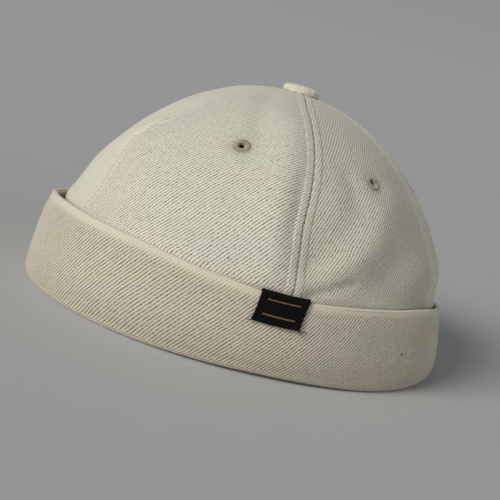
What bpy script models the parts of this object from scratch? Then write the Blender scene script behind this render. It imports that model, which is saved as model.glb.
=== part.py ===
"""Docker cap: a round brimless crown of six panels in a rolled cuff, at rest on a level surface.

Metres, +Z up. The front is towards -Y and the wearer's left is +X. The cuff's fold stands on z = 0, under
the middle of the crown. Angles are in degrees round the head from the front, positive towards the left.
"""

import math

import bmesh
import bpy
from mathutils import Matrix, Vector
from mathutils.bvhtree import BVHTree

OBJECT_NAME = "docker_cap"

# Cuff, over its outside
CUFF_LENGTH = 0.2118
CUFF_WIDTH = 0.1848
CUFF_HEIGHT = 0.0372
CUFF_WALL = 0.0026
INNER_LEG_HEIGHT = 0.0140
INNER_LEG_WALL = 0.0015
FOLD_INSET = 0.0045

# Crown
HAT_HEIGHT = 0.1099
CROWN_LENGTH = 0.1852
CROWN_WIDTH = 0.1692
RIM_GAP = 0.0076
SHOULDER_DROP = 0.0020
CLOTH = 0.0015
SEAM_EXTRA = 0.0007
ALLOWANCE = 0.0070
PUFF = 0.0008
FOLD_DEPTH = 0.0020
APEX_FORWARD = 0.0021
APEX_SIDE = -0.0007
SIDE_SEAM = 65.6
BACK_SEAM = 119.0

# Small pieces
EYELET_RADIUS = 0.0040
EYELET_HOLE = 0.0014
EYELET_NECK = 0.0023
EYELET_THREAD = 0.0007
EYELET_HEIGHT = 0.0815
EYELET_FRONT = 39.0
EYELET_SIDE = 91.4
EYELET_BACK = 148.0
BUTTON_RADIUS = 0.0090
BUTTON_HEIGHT = 0.0036
BUTTON_SHANK = 0.0025
BUTTON_SHANK_LENGTH = 0.0030
LABEL_ANGLE = 65.3
LABEL_WIDTH = 0.0190
LABEL_DROP = 0.0118
LABEL_TUCK = 0.0050
LABEL_CLOTH = 0.0008

# Fits
CLEARANCE = 0.0003
SLOT_CLEARANCE = 0.0004

# Mesh steps
CUFF_STEPS = 72
PANEL_COLUMNS = 12
SLOT_ROWS = 1
COVERED_ROWS = 3
CROWN_ROWS = 12
EYELET_STEPS = 16
BUTTON_STEPS = 24
LABEL_COLUMNS = 4

# Crown outline above the cuff's rim. reach is a share of the crown's half length or half width at the
# rim, height is a share of the rise from the rim to the top.
CROWN_OUTLINE = (
    # reach, height
    (1.00, 0.000),
    (0.96, 0.192),
    (0.90, 0.338),
    (0.80, 0.510),
    (0.70, 0.638),
    (0.60, 0.740),
    (0.50, 0.821),
    (0.40, 0.885),
    (0.30, 0.934),
    (0.20, 0.967),
    (0.10, 0.984),
    (0.00, 0.988),
)

# Cuff round the head. rim is the height of the rim, arch how far the fold lifts off the surface and
# rise the height of the fold's outer rounding, all as shares of CUFF_HEIGHT. gap is the rim's distance
# from the crown as a share of RIM_GAP, and inset is a share of FOLD_INSET.
CUFF_ROUND = (
    # angle, rim, gap, arch, rise, inset
    (0, 1.000, 1.000, 0.000, 0.040, 0.24),
    (20, 0.993, 0.910, 0.002, 0.045, 0.28),
    (35, 0.964, 0.740, 0.008, 0.050, 0.32),
    (50, 0.907, 0.535, 0.022, 0.055, 0.36),
    (65, 0.874, 0.353, 0.034, 0.062, 0.40),
    (80, 0.905, 0.233, 0.024, 0.075, 0.44),
    (95, 0.955, 0.190, 0.006, 0.090, 0.50),
    (110, 0.970, 0.203, 0.000, 0.120, 0.64),
    (125, 0.930, 0.172, 0.000, 0.150, 0.86),
    (140, 0.885, 0.140, 0.000, 0.165, 1.00),
    (152, 0.860, 0.210, 0.000, 0.160, 0.96),
    (165, 0.865, 0.440, 0.000, 0.150, 0.90),
    (180, 0.885, 0.620, 0.000, 0.130, 0.80),
    (225, 0.895, 0.390, 0.000, 0.100, 0.60),
    (270, 0.870, 0.230, 0.000, 0.080, 0.48),
    (300, 0.862, 0.405, 0.000, 0.065, 0.40),
    (322, 0.875, 0.720, 0.000, 0.050, 0.30),
    (340, 0.955, 0.920, 0.000, 0.042, 0.26),
    (360, 1.000, 1.000, 0.000, 0.040, 0.24),
)

# Soft folds and swells of the crown. Height and span are shares of HAT_HEIGHT, spread is in degrees,
# slant is degrees per HAT_HEIGHT and push is a share of FOLD_DEPTH, outwards positive.
CROWN_FOLDS = (
    # angle, height, spread, span, slant, push
    (55.0, 0.58, 6.0, 0.15, 0.0, 0.55),
    (67.0, 0.56, 8.0, 0.16, 0.0, -0.90),
    (83.0, 0.52, 7.0, 0.14, 60.0, 0.50),
    (95.0, 0.45, 9.0, 0.12, 70.0, -0.85),
    (126.0, 0.44, 22.0, 0.07, 0.0, 0.60),
    (118.0, 0.34, 20.0, 0.05, 0.0, -0.70),
    (0.0, 0.64, 12.0, 0.12, 0.0, 0.90),
    (200.0, 0.55, 22.0, 0.16, 0.0, 0.40),
    (262.0, 0.50, 14.0, 0.15, 0.0, -0.45),
)

# name, first seam, last seam, eyelet
PANELS = (
    ("front_left", 0.0, SIDE_SEAM, EYELET_FRONT),
    ("side_left", SIDE_SEAM, BACK_SEAM, EYELET_SIDE),
    ("back_left", BACK_SEAM, 180.0, EYELET_BACK),
    ("back_right", 180.0, 360.0 - BACK_SEAM, 360.0 - EYELET_BACK),
    ("side_right", 360.0 - BACK_SEAM, 360.0 - SIDE_SEAM, 360.0 - EYELET_SIDE),
    ("front_right", 360.0 - SIDE_SEAM, 360.0, 360.0 - EYELET_FRONT),
)

# Sizes that follow from the ones above
HEM = CLOTH + SEAM_EXTRA
SLOT_WIDTH = HEM + 2 * SLOT_CLEARANCE
CROWN_BASE = CUFF_HEIGHT - SHOULDER_DROP
CROWN_HALF_LENGTH = CROWN_LENGTH / 2
CROWN_HALF_WIDTH = CROWN_WIDTH / 2
APEX_HOLE = BUTTON_SHANK + 2 * CLEARANCE
EYELET_BORE = EYELET_NECK + CLEARANCE
LABEL_GAP = CLEARANCE + CUFF_LENGTH / 2 * (1 - math.cos(math.pi / CUFF_STEPS))


def smooth(share):
    """0 to 1 with level ends."""
    share = min(max(share, 0.0), 1.0)
    return share * share * (3 - 2 * share)


def spline(rows, column, at):
    """The value of a column of a table at a place in its first column, on a smooth curve."""
    last = len(rows) - 2
    i = 0
    while i < last and at > rows[i + 1][0]:
        i += 1
    before = rows[max(i - 1, 0)]
    start = rows[i]
    end = rows[i + 1]
    after = rows[min(i + 2, last + 1)]
    span = end[0] - start[0]
    share = (at - start[0]) / span
    slope_in = (end[column] - before[column]) / max(end[0] - before[0], 1e-9) * span
    slope_out = (after[column] - start[column]) / max(after[0] - start[0], 1e-9) * span
    square = share * share
    cube = square * share
    return (
        start[column] * (2 * cube - 3 * square + 1)
        + slope_in * (cube - 2 * square + share)
        + end[column] * (3 * square - 2 * cube)
        + slope_out * (cube - square)
    )


def oval(angle, out, height):
    """A point out from the widest oval of the cuff, at an angle and height."""
    turn = math.radians(angle)
    x = (CUFF_WIDTH / 2 + out) * math.sin(turn)
    y = -(CUFF_LENGTH / 2 + out) * math.cos(turn)
    return Vector((x, y, height))


def round_cuff(angle, column):
    return spline(CUFF_ROUND, column, angle % 360.0)


def rim_height(angle):
    return CUFF_HEIGHT * round_cuff(angle, 1)


def foot_height(angle):
    return max(CUFF_HEIGHT * round_cuff(angle, 3), 0.0)


def fold_rise(angle):
    """Height of the fold's outer rounding, at whose top the cuff is widest."""
    return CUFF_HEIGHT * round_cuff(angle, 4)


def cuff_lean(angle):
    """How far the rim leans in over the widest part of the cuff, to stand its gap from the crown."""
    side = math.sin(math.radians(angle)) ** 2
    across = (CUFF_WIDTH / 2 - CROWN_HALF_WIDTH) * side + (CUFF_LENGTH / 2 - CROWN_HALF_LENGTH) * (1 - side)
    return across - CUFF_WALL - RIM_GAP * round_cuff(angle, 2)


def cuff_slope(angle):
    return cuff_lean(angle) / (rim_height(angle) - foot_height(angle) - fold_rise(angle))


def cuff_out(angle, height):
    """How far out the cuff's outer face is from its widest oval, negative inwards."""
    return -cuff_slope(angle) * (height - foot_height(angle) - fold_rise(angle))


def slot_floor(angle):
    return foot_height(angle) + CUFF_WALL


def crown_foot(angle):
    """The crown's lower edge, whose inner corner is the lower one because the cloth leans."""
    return slot_floor(angle) + CLEARANCE + HEM * max(cuff_slope(angle), 0.0)


def outline_lengths():
    """Rows of the crown's outline as distance along it, reach and height."""
    rows = []
    along = 0.0
    rise = HAT_HEIGHT - CROWN_BASE
    for i, (reach, height) in enumerate(CROWN_OUTLINE):
        if i:
            step = math.hypot((CROWN_OUTLINE[i - 1][0] - reach) * CROWN_HALF_LENGTH,
                              (height - CROWN_OUTLINE[i - 1][1]) * rise)
            along += step
        rows.append((along, reach, height))
    return rows


OUTLINE = outline_lengths()


def panel_share(angle):
    """How far across its panel an angle is, 0 to 1."""
    for _, start, end, _ in PANELS:
        if start <= angle <= end:
            return (angle - start) / (end - start)
    return 0.0


def swell(angle, height, reach):
    """The crown's puff between its seams, with its folds."""
    angle = angle % 360.0
    fade = rising(angle, height) * smooth(reach * 2)
    puff = PUFF * (math.sin(math.pi * panel_share(angle)) - 0.5)
    push = 0.0
    for centre, level, spread, span, slant, share in CROWN_FOLDS:
        rise = height / HAT_HEIGHT - level
        turn = (angle - centre - slant * rise + 180.0) % 360.0 - 180.0
        push += share * math.exp(-((turn / spread) ** 2) - (rise / span) ** 2)
    return fade * (puff + FOLD_DEPTH * push)


def seat_top(angle):
    """The crown is held straight in the cuff's slot up to the top of the inner leg."""
    return foot_height(angle) + INNER_LEG_HEIGHT


def rising(angle, height):
    """0 at the top of the slot, 1 at the cuff's rim."""
    return smooth((height - seat_top(angle)) / (CROWN_BASE - seat_top(angle)))


def low_crown(angle, height):
    """A point of the crown's outer face between the cuff's fold and its rim."""
    turn = math.radians(angle)
    held = oval(angle, cuff_out(angle, height) - CUFF_WALL - SLOT_CLEARANCE, height)
    free = Vector((CROWN_HALF_WIDTH * math.sin(turn), -CROWN_HALF_LENGTH * math.cos(turn), height))
    outward = Vector((math.sin(turn), -math.cos(turn), 0.0))
    return held.lerp(free, rising(angle, height)) + outward * swell(angle, height, 1.0)


def high_crown(angle, along):
    """A point of the crown's outer face, a distance up its outline from the rim."""
    reach = spline(OUTLINE, 1, along)
    share = spline(OUTLINE, 2, along)
    height = CROWN_BASE + (HAT_HEIGHT - CROWN_BASE) * share
    turn = math.radians(angle)
    x = CROWN_HALF_WIDTH * reach * math.sin(turn) + APEX_SIDE * share
    y = -CROWN_HALF_LENGTH * reach * math.cos(turn) - APEX_FORWARD * share
    lean = math.sqrt(max(1 - reach * reach, 0.0)) * 0.8
    outward = Vector((math.sin(turn), -math.cos(turn), lean)).normalized()
    return Vector((x, y, height)) + outward * swell(angle, height, reach)


def along_at_reach(reach):
    low = 0.0
    high = OUTLINE[-1][0]
    for _ in range(40):
        middle = (low + high) / 2
        if spline(OUTLINE, 1, middle) > reach:
            low = middle
        else:
            high = middle
    return low


def along_at_height(angle, height):
    low = 0.0
    high = OUTLINE[-1][0]
    for _ in range(40):
        middle = (low + high) / 2
        if high_crown(angle, middle).z < height:
            low = middle
        else:
            high = middle
    return low


def crown_point(angle, row):
    """A point of the crown's outer face. Rows run from the fold to the hole at the top."""
    if row <= SLOT_ROWS:
        low = crown_foot(angle)
        return low_crown(angle, low + (seat_top(angle) - low) * row / SLOT_ROWS)
    row -= SLOT_ROWS
    if row <= COVERED_ROWS:
        low = seat_top(angle)
        return low_crown(angle, low + (CROWN_BASE - low) * row / COVERED_ROWS)
    top = along_at_reach(APEX_HOLE / CROWN_HALF_WIDTH)
    return high_crown(angle, top * (row - COVERED_ROWS) / CROWN_ROWS)


def collection(name, shown):
    group = bpy.data.collections.new(name)
    group.hide_render = not shown
    bpy.context.scene.collection.children.link(group)
    return group


def material(name, colour, roughness):
    made = bpy.data.materials.new(name)
    made.use_nodes = True
    shader = made.node_tree.nodes["Principled BSDF"]
    shader.inputs["Base Color"].default_value = (*colour, 1.0)
    shader.inputs["Roughness"].default_value = roughness
    shader.inputs["Metallic"].default_value = 0.0
    return made


def add_object(name, mesh_data, group, look, placing=None):
    mesh = bpy.data.meshes.new(name)
    bmesh.ops.recalc_face_normals(mesh_data, faces=mesh_data.faces)
    mesh_data.to_mesh(mesh)
    mesh_data.free()
    made = bpy.data.objects.new(name, mesh)
    group.objects.link(made)
    if look:
        mesh.materials.append(look)
    if placing:
        made.matrix_world = placing
    return made


def mapped_grid(columns, rows, place):
    """A grid whose corners are moved to place(column share, row share)."""
    sheet = bmesh.new()
    bmesh.ops.create_grid(sheet, x_segments=columns, y_segments=rows, size=0.5)
    for vert in sheet.verts:
        vert.co = place(vert.co.x + 0.5, vert.co.y + 0.5)
    return sheet


def spun(profile, steps):
    """A solid of revolution about Z from a closed profile of (radius, height)."""
    body = bmesh.new()
    verts = [body.verts.new((radius, 0.0, height)) for radius, height in profile]
    edges = [body.edges.new((verts[i - 1], verts[i])) for i in range(len(verts))]
    bmesh.ops.spin(body, geom=verts + edges, cent=(0, 0, 0), axis=(0, 0, 1), dvec=(0, 0, 0),
                   angle=2 * math.pi, steps=steps, use_merge=True)
    bmesh.ops.remove_doubles(body, verts=body.verts, dist=1e-7)
    return body


def cuff_section(angle):
    """The cuff's closed section as (out, height), from the foot of the slot up over the rim and back."""
    rim = rim_height(angle)
    foot = foot_height(angle)
    floor = slot_floor(angle)
    half = CUFF_WALL / 2
    leg_top = rim - half
    rise = fold_rise(angle)
    inset = FOLD_INSET * round_cuff(angle, 5)
    inside = -CUFF_WALL - SLOT_WIDTH - INNER_LEG_WALL
    points = [(cuff_out(angle, floor) - CUFF_WALL, floor)]
    for share in (0.3, 0.55, 0.8):
        height = floor + (leg_top - floor) * share
        points.append((cuff_out(angle, height) - CUFF_WALL, height))
    middle = cuff_out(angle, leg_top) - half
    for step in range(5):
        turn = math.pi * step / 4
        points.append((middle - half * math.cos(turn), leg_top + half * math.sin(turn)))
    for share in (0.75, 0.5, 0.25):
        height = foot + rise + (leg_top - foot - rise) * share
        points.append((cuff_out(angle, height), height))
    for step in range(4):
        turn = math.pi / 2 * step / 3
        height = foot + rise * (1 - math.cos(math.pi / 2 - turn))
        points.append((-inset * (1 - math.cos(turn)), height))
    points.append((inside + INNER_LEG_WALL / 2, foot))
    points.append((inside, foot + INNER_LEG_WALL / 2))
    top = seat_top(angle)
    bevel = INNER_LEG_WALL / 4
    points.append((inside + cuff_out(angle, top - bevel), top - bevel))
    points.append((inside + bevel + cuff_out(angle, top), top))
    points.append((inside + INNER_LEG_WALL - bevel + cuff_out(angle, top), top))
    points.append((inside + INNER_LEG_WALL + cuff_out(angle, top - bevel), top - bevel))
    points.append((inside + INNER_LEG_WALL + cuff_out(angle, floor), floor))
    return points


def make_cuff(group, look):
    count = len(cuff_section(0.0))
    sections = [cuff_section(360.0 * step / CUFF_STEPS) for step in range(CUFF_STEPS)]

    def place(column, row):
        step = round(column * CUFF_STEPS) % CUFF_STEPS
        out, height = sections[step][round(row * count) % count]
        return oval(360.0 * step / CUFF_STEPS, out, height)

    band = mapped_grid(CUFF_STEPS, count, place)
    bmesh.ops.remove_doubles(band, verts=band.verts, dist=1e-7)
    return add_object("cuff", band, group, look)


def panel_column(share):
    """Columns stand closer together beside the seams."""
    return share - 0.03 * math.sin(2 * math.pi * share)


def make_panel(name, start, end, group, look):
    rows = SLOT_ROWS + COVERED_ROWS + CROWN_ROWS
    seam_gap = CLEARANCE / 2

    def place(column, row):
        row = round(row * rows)
        radius = crown_point(start, row).xy.length
        inset = math.degrees(seam_gap / radius)
        angle = start + inset + (end - start - 2 * inset) * panel_column(column)
        return crown_point(angle, row)

    sheet = mapped_grid(PANEL_COLUMNS, rows, place)
    made = add_object(name, sheet, group, look)
    if made.data.polygons[0].normal.dot(made.data.polygons[0].center) < 0:
        made.data.flip_normals()
    thick = made.vertex_groups.new(name="seam allowance")
    first = crown_line(start)
    last = crown_line(end)
    foot = crown_foot((start + end) / 2)
    for vert in made.data.vertices:
        reach = min(distance(vert.co, first), distance(vert.co, last), vert.co.z - foot)
        weight = 1 - smooth((reach / ALLOWANCE - 0.6) / 0.8)
        share = (CLOTH + SEAM_EXTRA * weight) / HEM
        thick.add([vert.index], share, "REPLACE")
    wall = made.modifiers.new("cloth", "SOLIDIFY")
    wall.thickness = HEM
    wall.offset = -1.0
    wall.vertex_group = thick.name
    wall.use_even_offset = False
    return made


def crown_line(angle):
    rows = SLOT_ROWS + COVERED_ROWS + CROWN_ROWS
    return [crown_point(angle, row / 2) for row in range(2 * rows + 1)]


def distance(point, line):
    return min((point - other).length for other in line)


def surface_frame(angle, height):
    """The crown's outer face at an angle and height, as a matrix with Z outwards."""
    along = along_at_height(angle, height)
    point = high_crown(angle, along)
    across = high_crown(angle + 0.5, along) - high_crown(angle - 0.5, along)
    up = high_crown(angle, along + 0.001) - high_crown(angle, along - 0.001)
    normal = across.cross(up).normalized()
    if normal.dot(point) < 0:
        normal.negate()
    across.normalize()
    up = normal.cross(across)
    frame = Matrix((across, up, normal)).transposed().to_4x4()
    frame.translation = point
    return frame


def cut_bore(panel, frame, group):
    body = bmesh.new()
    bmesh.ops.create_cone(body, cap_ends=True, segments=EYELET_STEPS, radius1=EYELET_BORE,
                          radius2=EYELET_BORE, depth=6 * HEM)
    cutter = add_object(panel.name + "_bore", body, group, None, frame)
    cutter.display_type = "WIRE"
    cutter.hide_render = True
    cut = panel.modifiers.new("eyelet bore", "BOOLEAN")
    cut.operation = "DIFFERENCE"
    cut.solver = "EXACT"
    cut.object = cutter


def cloth_levels(sheet, frame):
    """The lowest and highest level of a panel's outer face round an eyelet."""
    tree = BVHTree.FromPolygons([vert.co for vert in sheet.vertices], [face.vertices for face in sheet.polygons])
    levels = []
    for step in range(24):
        turn = 2 * math.pi * step / 24
        for radius in (EYELET_BORE, EYELET_RADIUS):
            start = frame @ Vector((radius * math.cos(turn), radius * math.sin(turn), EYELET_RADIUS))
            place, _, _, reach = tree.ray_cast(start, -frame.col[2].xyz)
            if place:
                levels.append(EYELET_RADIUS - reach)
    return min(levels), max(levels)


def make_eyelet(name, frame, levels, group, look):
    over = levels[1] + CLEARANCE
    under = levels[0] - CLOTH - CLEARANCE
    edge = EYELET_THREAD * 0.4
    profile = (
        (EYELET_HOLE, under - EYELET_THREAD * 0.6),
        (EYELET_HOLE + edge, under - EYELET_THREAD),
        (EYELET_RADIUS - 2 * edge, under - EYELET_THREAD),
        (EYELET_RADIUS - edge, under),
        (EYELET_NECK, under),
        (EYELET_NECK, over),
        (EYELET_RADIUS, over),
        (EYELET_RADIUS - edge, over + EYELET_THREAD * 0.8),
        (EYELET_HOLE + 2 * edge, over + EYELET_THREAD),
        (EYELET_HOLE, over + EYELET_THREAD * 0.5),
    )
    return add_object(name, spun(profile, EYELET_STEPS), group, look, frame)


def make_button(group, look):
    along = along_at_reach(APEX_HOLE / CROWN_HALF_WIDTH)
    edge_along = along_at_reach(BUTTON_RADIUS / CROWN_HALF_WIDTH)
    top = max(high_crown(angle, along).z for angle in range(0, 360, 15))
    edge = max(high_crown(angle, edge_along).z for angle in range(0, 360, 15))
    seat = 0.0
    skirt = min(edge - top + 0.4 * CLEARANCE, 0.0)
    crest = BUTTON_HEIGHT + skirt
    profile = (
        (0.0, -BUTTON_SHANK_LENGTH),
        (BUTTON_SHANK, -BUTTON_SHANK_LENGTH),
        (BUTTON_SHANK, seat),
        (BUTTON_RADIUS * 0.93, skirt),
        (BUTTON_RADIUS, skirt + crest * 0.22),
        (BUTTON_RADIUS * 0.985, skirt + crest * 0.45),
        (BUTTON_RADIUS * 0.88, skirt + crest * 0.75),
        (BUTTON_RADIUS * 0.62, skirt + crest * 0.98),
        (BUTTON_RADIUS * 0.30, skirt + crest * 1.10),
        (0.0, skirt + crest * 1.14),
    )
    body = bmesh.new()
    verts = [body.verts.new((radius, 0.0, height)) for radius, height in profile]
    edges = [body.edges.new(pair) for pair in zip(verts, verts[1:])]
    bmesh.ops.spin(body, geom=verts + edges, cent=(0, 0, 0), axis=(0, 0, 1), dvec=(0, 0, 0),
                   angle=2 * math.pi, steps=BUTTON_STEPS, use_merge=True)
    bmesh.ops.remove_doubles(body, verts=body.verts, dist=1e-7)
    placing = Matrix.Translation((APEX_SIDE, -APEX_FORWARD, top + CLEARANCE))
    return add_object("top_button", body, group, look, placing)


def label_path(angle):
    """The label's inner face from its lower end up the cuff, over the rim and down inside."""
    rim = rim_height(angle)
    half = CUFF_WALL / 2
    leg_top = rim - half
    low = rim + LABEL_GAP + LABEL_CLOTH - LABEL_DROP
    points = []
    for share in (0.0, 0.35, 0.7):
        height = low + (leg_top - low) * share
        points.append((cuff_out(angle, height) + LABEL_GAP, height))
    middle = cuff_out(angle, leg_top) - half
    for step in range(5):
        turn = math.pi * step / 4
        around = half + LABEL_GAP
        points.append((middle + around * math.cos(turn), leg_top + around * math.sin(turn)))
    for share in (0.5, 1.0):
        height = leg_top - (LABEL_TUCK - half) * share
        points.append((cuff_out(angle, height) - CUFF_WALL - LABEL_GAP, height))
    return points


def make_label(group, look):
    rows = len(label_path(LABEL_ANGLE)) - 1
    radius = oval(LABEL_ANGLE, 0.0, 0.0).xy.length
    half_turn = math.degrees(LABEL_WIDTH / 2 / radius)

    def place(column, row):
        angle = LABEL_ANGLE + half_turn * (2 * column - 1)
        out, height = label_path(angle)[round(row * rows)]
        return oval(angle, out, height)

    sheet = mapped_grid(LABEL_COLUMNS, rows, place)
    made = add_object("label", sheet, group, look)
    first = min(made.data.polygons, key=lambda face: face.center.z - face.center.xy.length)
    if first.normal.dot(Vector((first.center.x, first.center.y, 0.0))) < 0:
        made.data.flip_normals()
    wall = made.modifiers.new("woven tape", "SOLIDIFY")
    wall.thickness = LABEL_CLOTH
    wall.offset = 1.0
    return made


def main():
    for old in list(bpy.data.objects):
        bpy.data.objects.remove(old, do_unlink=True)
    parts = collection(OBJECT_NAME, True)
    cutters = collection("cutters", False)
    twill = material("cream_twill", (0.72, 0.67, 0.55), 0.92)
    cuff_twill = material("cuff_twill", (0.74, 0.69, 0.57), 0.92)
    thread = material("eyelet_thread", (0.52, 0.46, 0.36), 0.75)
    covered = material("button_twill", (0.72, 0.67, 0.55), 0.92)
    woven = material("black_tape", (0.012, 0.012, 0.014), 0.6)
    make_cuff(parts, cuff_twill)
    for name, start, end, eyelet in PANELS:
        panel = make_panel("panel_" + name, start, end, parts, twill)
        frame = surface_frame(eyelet, EYELET_HEIGHT)
        cut_bore(panel, frame, cutters)
        make_eyelet("eyelet_" + name, frame, cloth_levels(panel.data, frame), parts, thread)
    make_button(parts, covered)
    make_label(parts, woven)


main()
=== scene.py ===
"""Docker cap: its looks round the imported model. Cream twill crown and rolled cuff, at rest on a plain floor.

Metres, +Z up. The front is towards -Y and the wearer's left is +X. Angles are in degrees round the head
from the front, positive towards the left. The sizes and tables down to PANELS repeat the part's own.
"""

import math

import bpy
import numpy as np
from mathutils import Matrix, Vector, noise


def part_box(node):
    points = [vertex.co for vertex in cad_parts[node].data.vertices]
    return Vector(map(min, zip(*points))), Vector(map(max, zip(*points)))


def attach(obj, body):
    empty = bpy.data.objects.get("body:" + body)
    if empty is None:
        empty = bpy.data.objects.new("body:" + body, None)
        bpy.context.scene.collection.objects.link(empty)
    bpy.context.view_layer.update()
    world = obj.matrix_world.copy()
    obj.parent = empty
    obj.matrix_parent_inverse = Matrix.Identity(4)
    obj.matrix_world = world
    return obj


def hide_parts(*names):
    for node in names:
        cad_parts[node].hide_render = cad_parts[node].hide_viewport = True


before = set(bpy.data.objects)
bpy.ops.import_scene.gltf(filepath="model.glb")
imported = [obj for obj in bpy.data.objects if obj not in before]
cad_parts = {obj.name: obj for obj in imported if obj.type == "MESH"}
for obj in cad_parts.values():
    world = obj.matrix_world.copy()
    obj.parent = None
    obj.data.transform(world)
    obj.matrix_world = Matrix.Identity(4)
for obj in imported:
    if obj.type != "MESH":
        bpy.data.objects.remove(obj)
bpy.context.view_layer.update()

# The part's sizes
CUFF_LENGTH = 0.2118
CUFF_WIDTH = 0.1848
CUFF_HEIGHT = 0.0372
CUFF_WALL = 0.0026
INNER_LEG_HEIGHT = 0.0140
INNER_LEG_WALL = 0.0015
FOLD_INSET = 0.0045
HAT_HEIGHT = 0.1099
CROWN_LENGTH = 0.1852
CROWN_WIDTH = 0.1692
RIM_GAP = 0.0076
SHOULDER_DROP = 0.0020
CLOTH = 0.0015
SEAM_EXTRA = 0.0007
ALLOWANCE = 0.0070
PUFF = 0.0008
FOLD_DEPTH = 0.0020
APEX_FORWARD = 0.0021
APEX_SIDE = -0.0007
SIDE_SEAM = 65.6
BACK_SEAM = 119.0
EYELET_HEIGHT = 0.0815
EYELET_FRONT = 39.0
EYELET_SIDE = 91.4
EYELET_BACK = 148.0
BUTTON_RADIUS = 0.0090
LABEL_ANGLE = 65.3
LABEL_WIDTH = 0.0190
LABEL_DROP = 0.0118
LABEL_TUCK = 0.0050
LABEL_CLOTH = 0.0008
CLEARANCE = 0.0003
SLOT_CLEARANCE = 0.0004

CROWN_OUTLINE = (
    # reach, height
    (1.00, 0.000),
    (0.96, 0.192),
    (0.90, 0.338),
    (0.80, 0.510),
    (0.70, 0.638),
    (0.60, 0.740),
    (0.50, 0.821),
    (0.40, 0.885),
    (0.30, 0.934),
    (0.20, 0.967),
    (0.10, 0.984),
    (0.00, 0.988),
)

CUFF_ROUND = (
    # angle, rim, gap, arch, rise, inset
    (0, 1.000, 1.000, 0.000, 0.040, 0.24),
    (20, 0.993, 0.910, 0.002, 0.045, 0.28),
    (35, 0.964, 0.740, 0.008, 0.050, 0.32),
    (50, 0.907, 0.535, 0.022, 0.055, 0.36),
    (65, 0.874, 0.353, 0.034, 0.062, 0.40),
    (80, 0.905, 0.233, 0.024, 0.075, 0.44),
    (95, 0.955, 0.190, 0.006, 0.090, 0.50),
    (110, 0.970, 0.203, 0.000, 0.120, 0.64),
    (125, 0.930, 0.172, 0.000, 0.150, 0.86),
    (140, 0.885, 0.140, 0.000, 0.165, 1.00),
    (152, 0.860, 0.210, 0.000, 0.160, 0.96),
    (165, 0.865, 0.440, 0.000, 0.150, 0.90),
    (180, 0.885, 0.620, 0.000, 0.130, 0.80),
    (225, 0.895, 0.390, 0.000, 0.100, 0.60),
    (270, 0.870, 0.230, 0.000, 0.080, 0.48),
    (300, 0.862, 0.405, 0.000, 0.065, 0.40),
    (322, 0.875, 0.720, 0.000, 0.050, 0.30),
    (340, 0.955, 0.920, 0.000, 0.042, 0.26),
    (360, 1.000, 1.000, 0.000, 0.040, 0.24),
)

CROWN_FOLDS = (
    # angle, height, spread, span, slant, push
    (55.0, 0.58, 6.0, 0.15, 0.0, 0.55),
    (67.0, 0.56, 8.0, 0.16, 0.0, -0.90),
    (83.0, 0.52, 7.0, 0.14, 60.0, 0.50),
    (95.0, 0.45, 9.0, 0.12, 70.0, -0.85),
    (126.0, 0.44, 22.0, 0.07, 0.0, 0.60),
    (118.0, 0.34, 20.0, 0.05, 0.0, -0.70),
    (0.0, 0.64, 12.0, 0.12, 0.0, 0.90),
    (200.0, 0.55, 22.0, 0.16, 0.0, 0.40),
    (262.0, 0.50, 14.0, 0.15, 0.0, -0.45),
)

PANELS = (
    # name, first seam, last seam, eyelet
    ("front_left", 0.0, SIDE_SEAM, EYELET_FRONT),
    ("side_left", SIDE_SEAM, BACK_SEAM, EYELET_SIDE),
    ("back_left", BACK_SEAM, 180.0, EYELET_BACK),
    ("back_right", 180.0, 360.0 - BACK_SEAM, 360.0 - EYELET_BACK),
    ("side_right", 360.0 - BACK_SEAM, 360.0 - SIDE_SEAM, 360.0 - EYELET_SIDE),
    ("front_right", 360.0 - SIDE_SEAM, 360.0, 360.0 - EYELET_FRONT),
)

HEM = CLOTH + SEAM_EXTRA
SLOT_WIDTH = HEM + 2 * SLOT_CLEARANCE
CROWN_BASE = CUFF_HEIGHT - SHOULDER_DROP
CROWN_HALF_LENGTH = CROWN_LENGTH / 2
CROWN_HALF_WIDTH = CROWN_WIDTH / 2
APEX_REACH = 0.0031

# Sewing, in metres
STITCH_ROW = 0.0037
STITCH_STEP = 0.0028
STITCH_LENGTH = 0.0023
STITCH_THREAD = 0.00017
STITCH_LIFT = 0.00030
STITCH_SINK = 0.00017
SEAM_JOIN = 0.00001
STRIP_RAISE = 0.00034
FURROW_DEPTH = 0.00018
FURROW_WIDTH = 0.00050
ROLL_DEPTH = 0.00062
ROLL_WIDTH = 0.00034
SEAM_ZONE = 0.0140
LAP_RAISE = 0.00016
SEAM_SHARES = {0.0: 0.25, SIDE_SEAM: 0.85, BACK_SEAM: 0.14, 180.0: 0.7}
LOW_ROWS = 34
HIGH_ROWS = 190
STRIP_EDGE = 0.0009
STRIP_OVER = 0.0004
PUCKER_HEIGHT = 0.00008
PUCKERS = (
    # length, share, turn
    (0.0061, 1.0, 1.0),
    (0.0043, 0.7, 2.1),
)
CLOTH_RIPPLES = (
    # depth, size, seed added
    (0.00045, 0.030, 0.0),
    (0.00016, 0.011, 5.0),
)

LAP_TOP = 0.082
LAP_SOFT = 0.0035

# How the cloth is rubbed pale, with a painted highlight on the cuff's rim, and darkened with painted shade in
# the joins, round the eyelets, at the top of the crown, at the cuff's foot and inside it, as shares, with
# places in metres
SEAM_RUB = 0.35
SEAM_RUB_AT = 0.0016
SEAM_RUB_WIDTH = 0.0014
FRONT_RUB = 0.42
FRONT_RUB_REACH = 0.030
JOIN_SHADE = 0.30
JOIN_SHADE_WIDTH = 0.0004
EYELET_SHADE = 0.38
EYELET_SHADE_WIDTH = 0.0046
TOP_SHADE = 0.11
TOP_SHADE_FROM = 0.074
RIM_RUB_AND_HIGHLIGHT = 0.92
RIM_RUB_AND_HIGHLIGHT_WIDTH = 0.0016
FOLD_RUB = 0.3
FOOT_SHADE = 0.15
FOOT_SHADE_REACH = 0.018
INSIDE_SHADE = 0.10

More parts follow.
